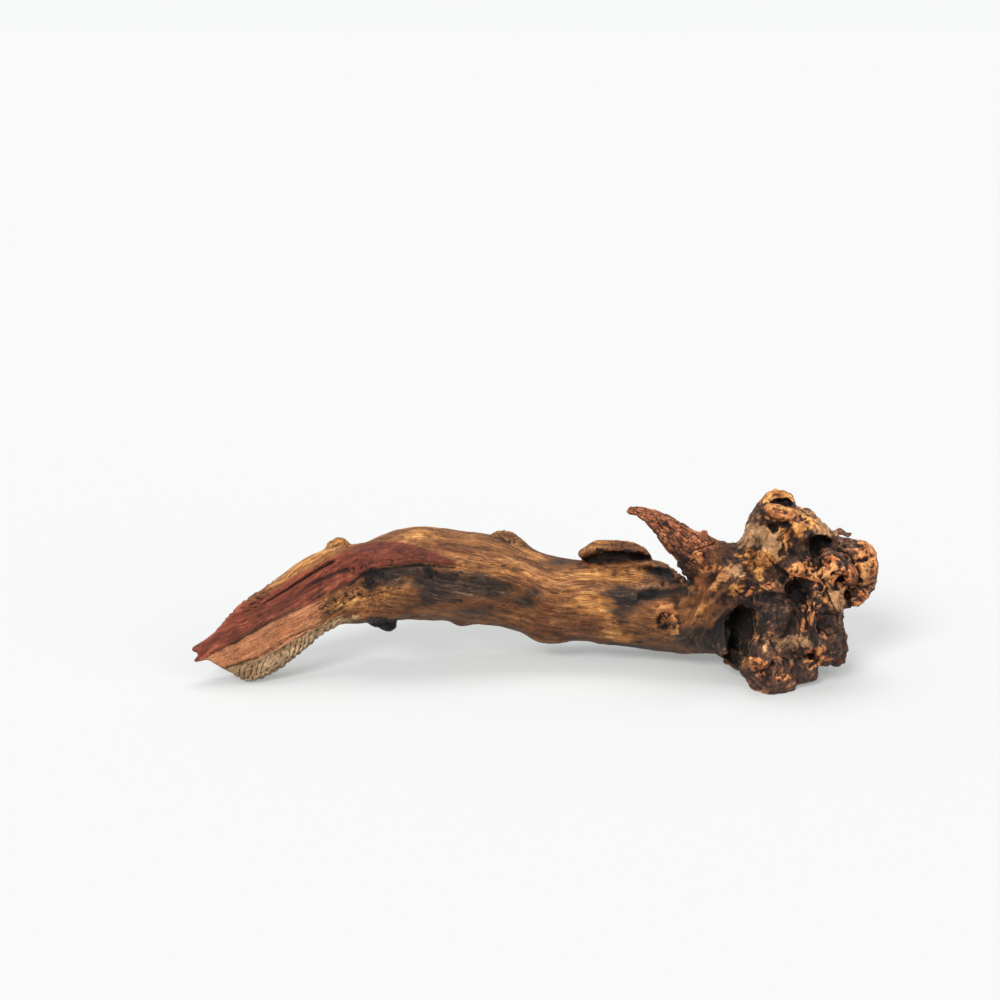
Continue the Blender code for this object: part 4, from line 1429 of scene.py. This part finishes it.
studio = {
    "width": 20.0,
    "paper": (0.939, 0.956, 0.947),
    "floor": (0.42, 0.422, 0.418),
    "light": (0.97, 0.99, 0.975),  # the floor's own light, which keeps it as pale as the paper behind
    "glow": 0.28,
    "sky": 0.45,
    "skyBelow": (0.3, 0.3, 0.32),
    "skyAbove": (0.97, 0.99, 1.0),
    "lights": {  # the way it comes from, how wide it looks in degrees, its strength
        "key": ((-0.42, -0.80, 0.62), 22.0, 3.0),
        "fill": ((0.75, -0.70, 0.45), 50.0, 1.1),
        "top": ((0.05, 0.3, 1.0), 38.0, 1.6),
    },
}


def makeFloor():
    # a flat pale sheet, so wide that its far edge lies at the horizon
    corners = studio["width"] * np.array([(-1, -1, 0), (1, -1, 0), (1, 1, 0), (-1, 1, 0)])
    mesh = bpy.data.meshes.new("floor")
    mesh.from_pydata(corners, [], [(0, 1, 2, 3)])
    floor = bpy.data.objects.new("floor", mesh)
    bpy.context.scene.collection.objects.link(floor)
    pale = bpy.data.materials.new("paleSheet")
    pale.use_nodes = True
    surface = pale.node_tree.nodes["Principled BSDF"]
    surface.inputs["Base Color"].default_value = (*studio["floor"], 1)
    surface.inputs["Roughness"].default_value = 0.9
    surface.inputs["Specular IOR Level"].default_value = 0.0
    surface.inputs["Emission Color"].default_value = (*studio["light"], 1)
    surface.inputs["Emission Strength"].default_value = studio["glow"]
    mesh.materials.append(pale)
    floor.visible_diffuse = False


def makeLights():
    for name, (way, width, strength) in studio["lights"].items():
        light = bpy.data.lights.new(name, "SUN")
        light.angle = np.radians(width)
        light.energy = strength
        lamp = bpy.data.objects.new(name, light)
        lamp.rotation_euler = Vector(way).to_track_quat("Z", "Y").to_euler()
        bpy.context.scene.collection.objects.link(lamp)
    world = bpy.data.worlds.new("studio")
    world.use_nodes = True
    tree = world.node_tree
    back = tree.nodes["Background"]
    ways = put(tree, "ShaderNodeTexCoord").outputs["Generated"]
    way = put(tree, "ShaderNodeSeparateXYZ", inputs={"Vector": ways})
    above = mapped(tree, way.outputs["Z"], -0.1, 0.1)
    seen = put(tree, "ShaderNodeLightPath").outputs["Is Camera Ray"]
    glow = mixed(tree, above, studio["skyBelow"], studio["skyAbove"])
    tree.links.new(mixed(tree, seen, glow, studio["paper"]), back.inputs["Color"])
    tree.links.new(mapped(tree, seen, 0.0, 1.0, studio["sky"], 1.0), back.inputs["Strength"])
    bpy.context.scene.world = world


def makeCamera():
    data = bpy.data.cameras.new("camera")
    data.sensor_width = 36.0
    data.lens = data.sensor_width * picture["distance"] / (picture["pixels"] * picture["pixel"])
    data.clip_end = 50.0
    camera = bpy.data.objects.new("camera", data)
    tip = np.radians(picture["elevation"])
    aim = (np.array(picture["aim"]) - gridToFrame) * mm
    camera.location = aim + picture["distance"] * mm * np.array([0, -np.cos(tip), np.sin(tip)])
    camera.rotation_euler = (np.pi / 2 - tip, 0, 0)
    bpy.context.scene.collection.objects.link(camera)
    bpy.context.scene.camera = camera
    bpy.context.scene.view_settings.view_transform = "Standard"
    bpy.context.scene.view_settings.look = "None"


makeCamera()
makeLights()
makeFloor()
makeTrunk()
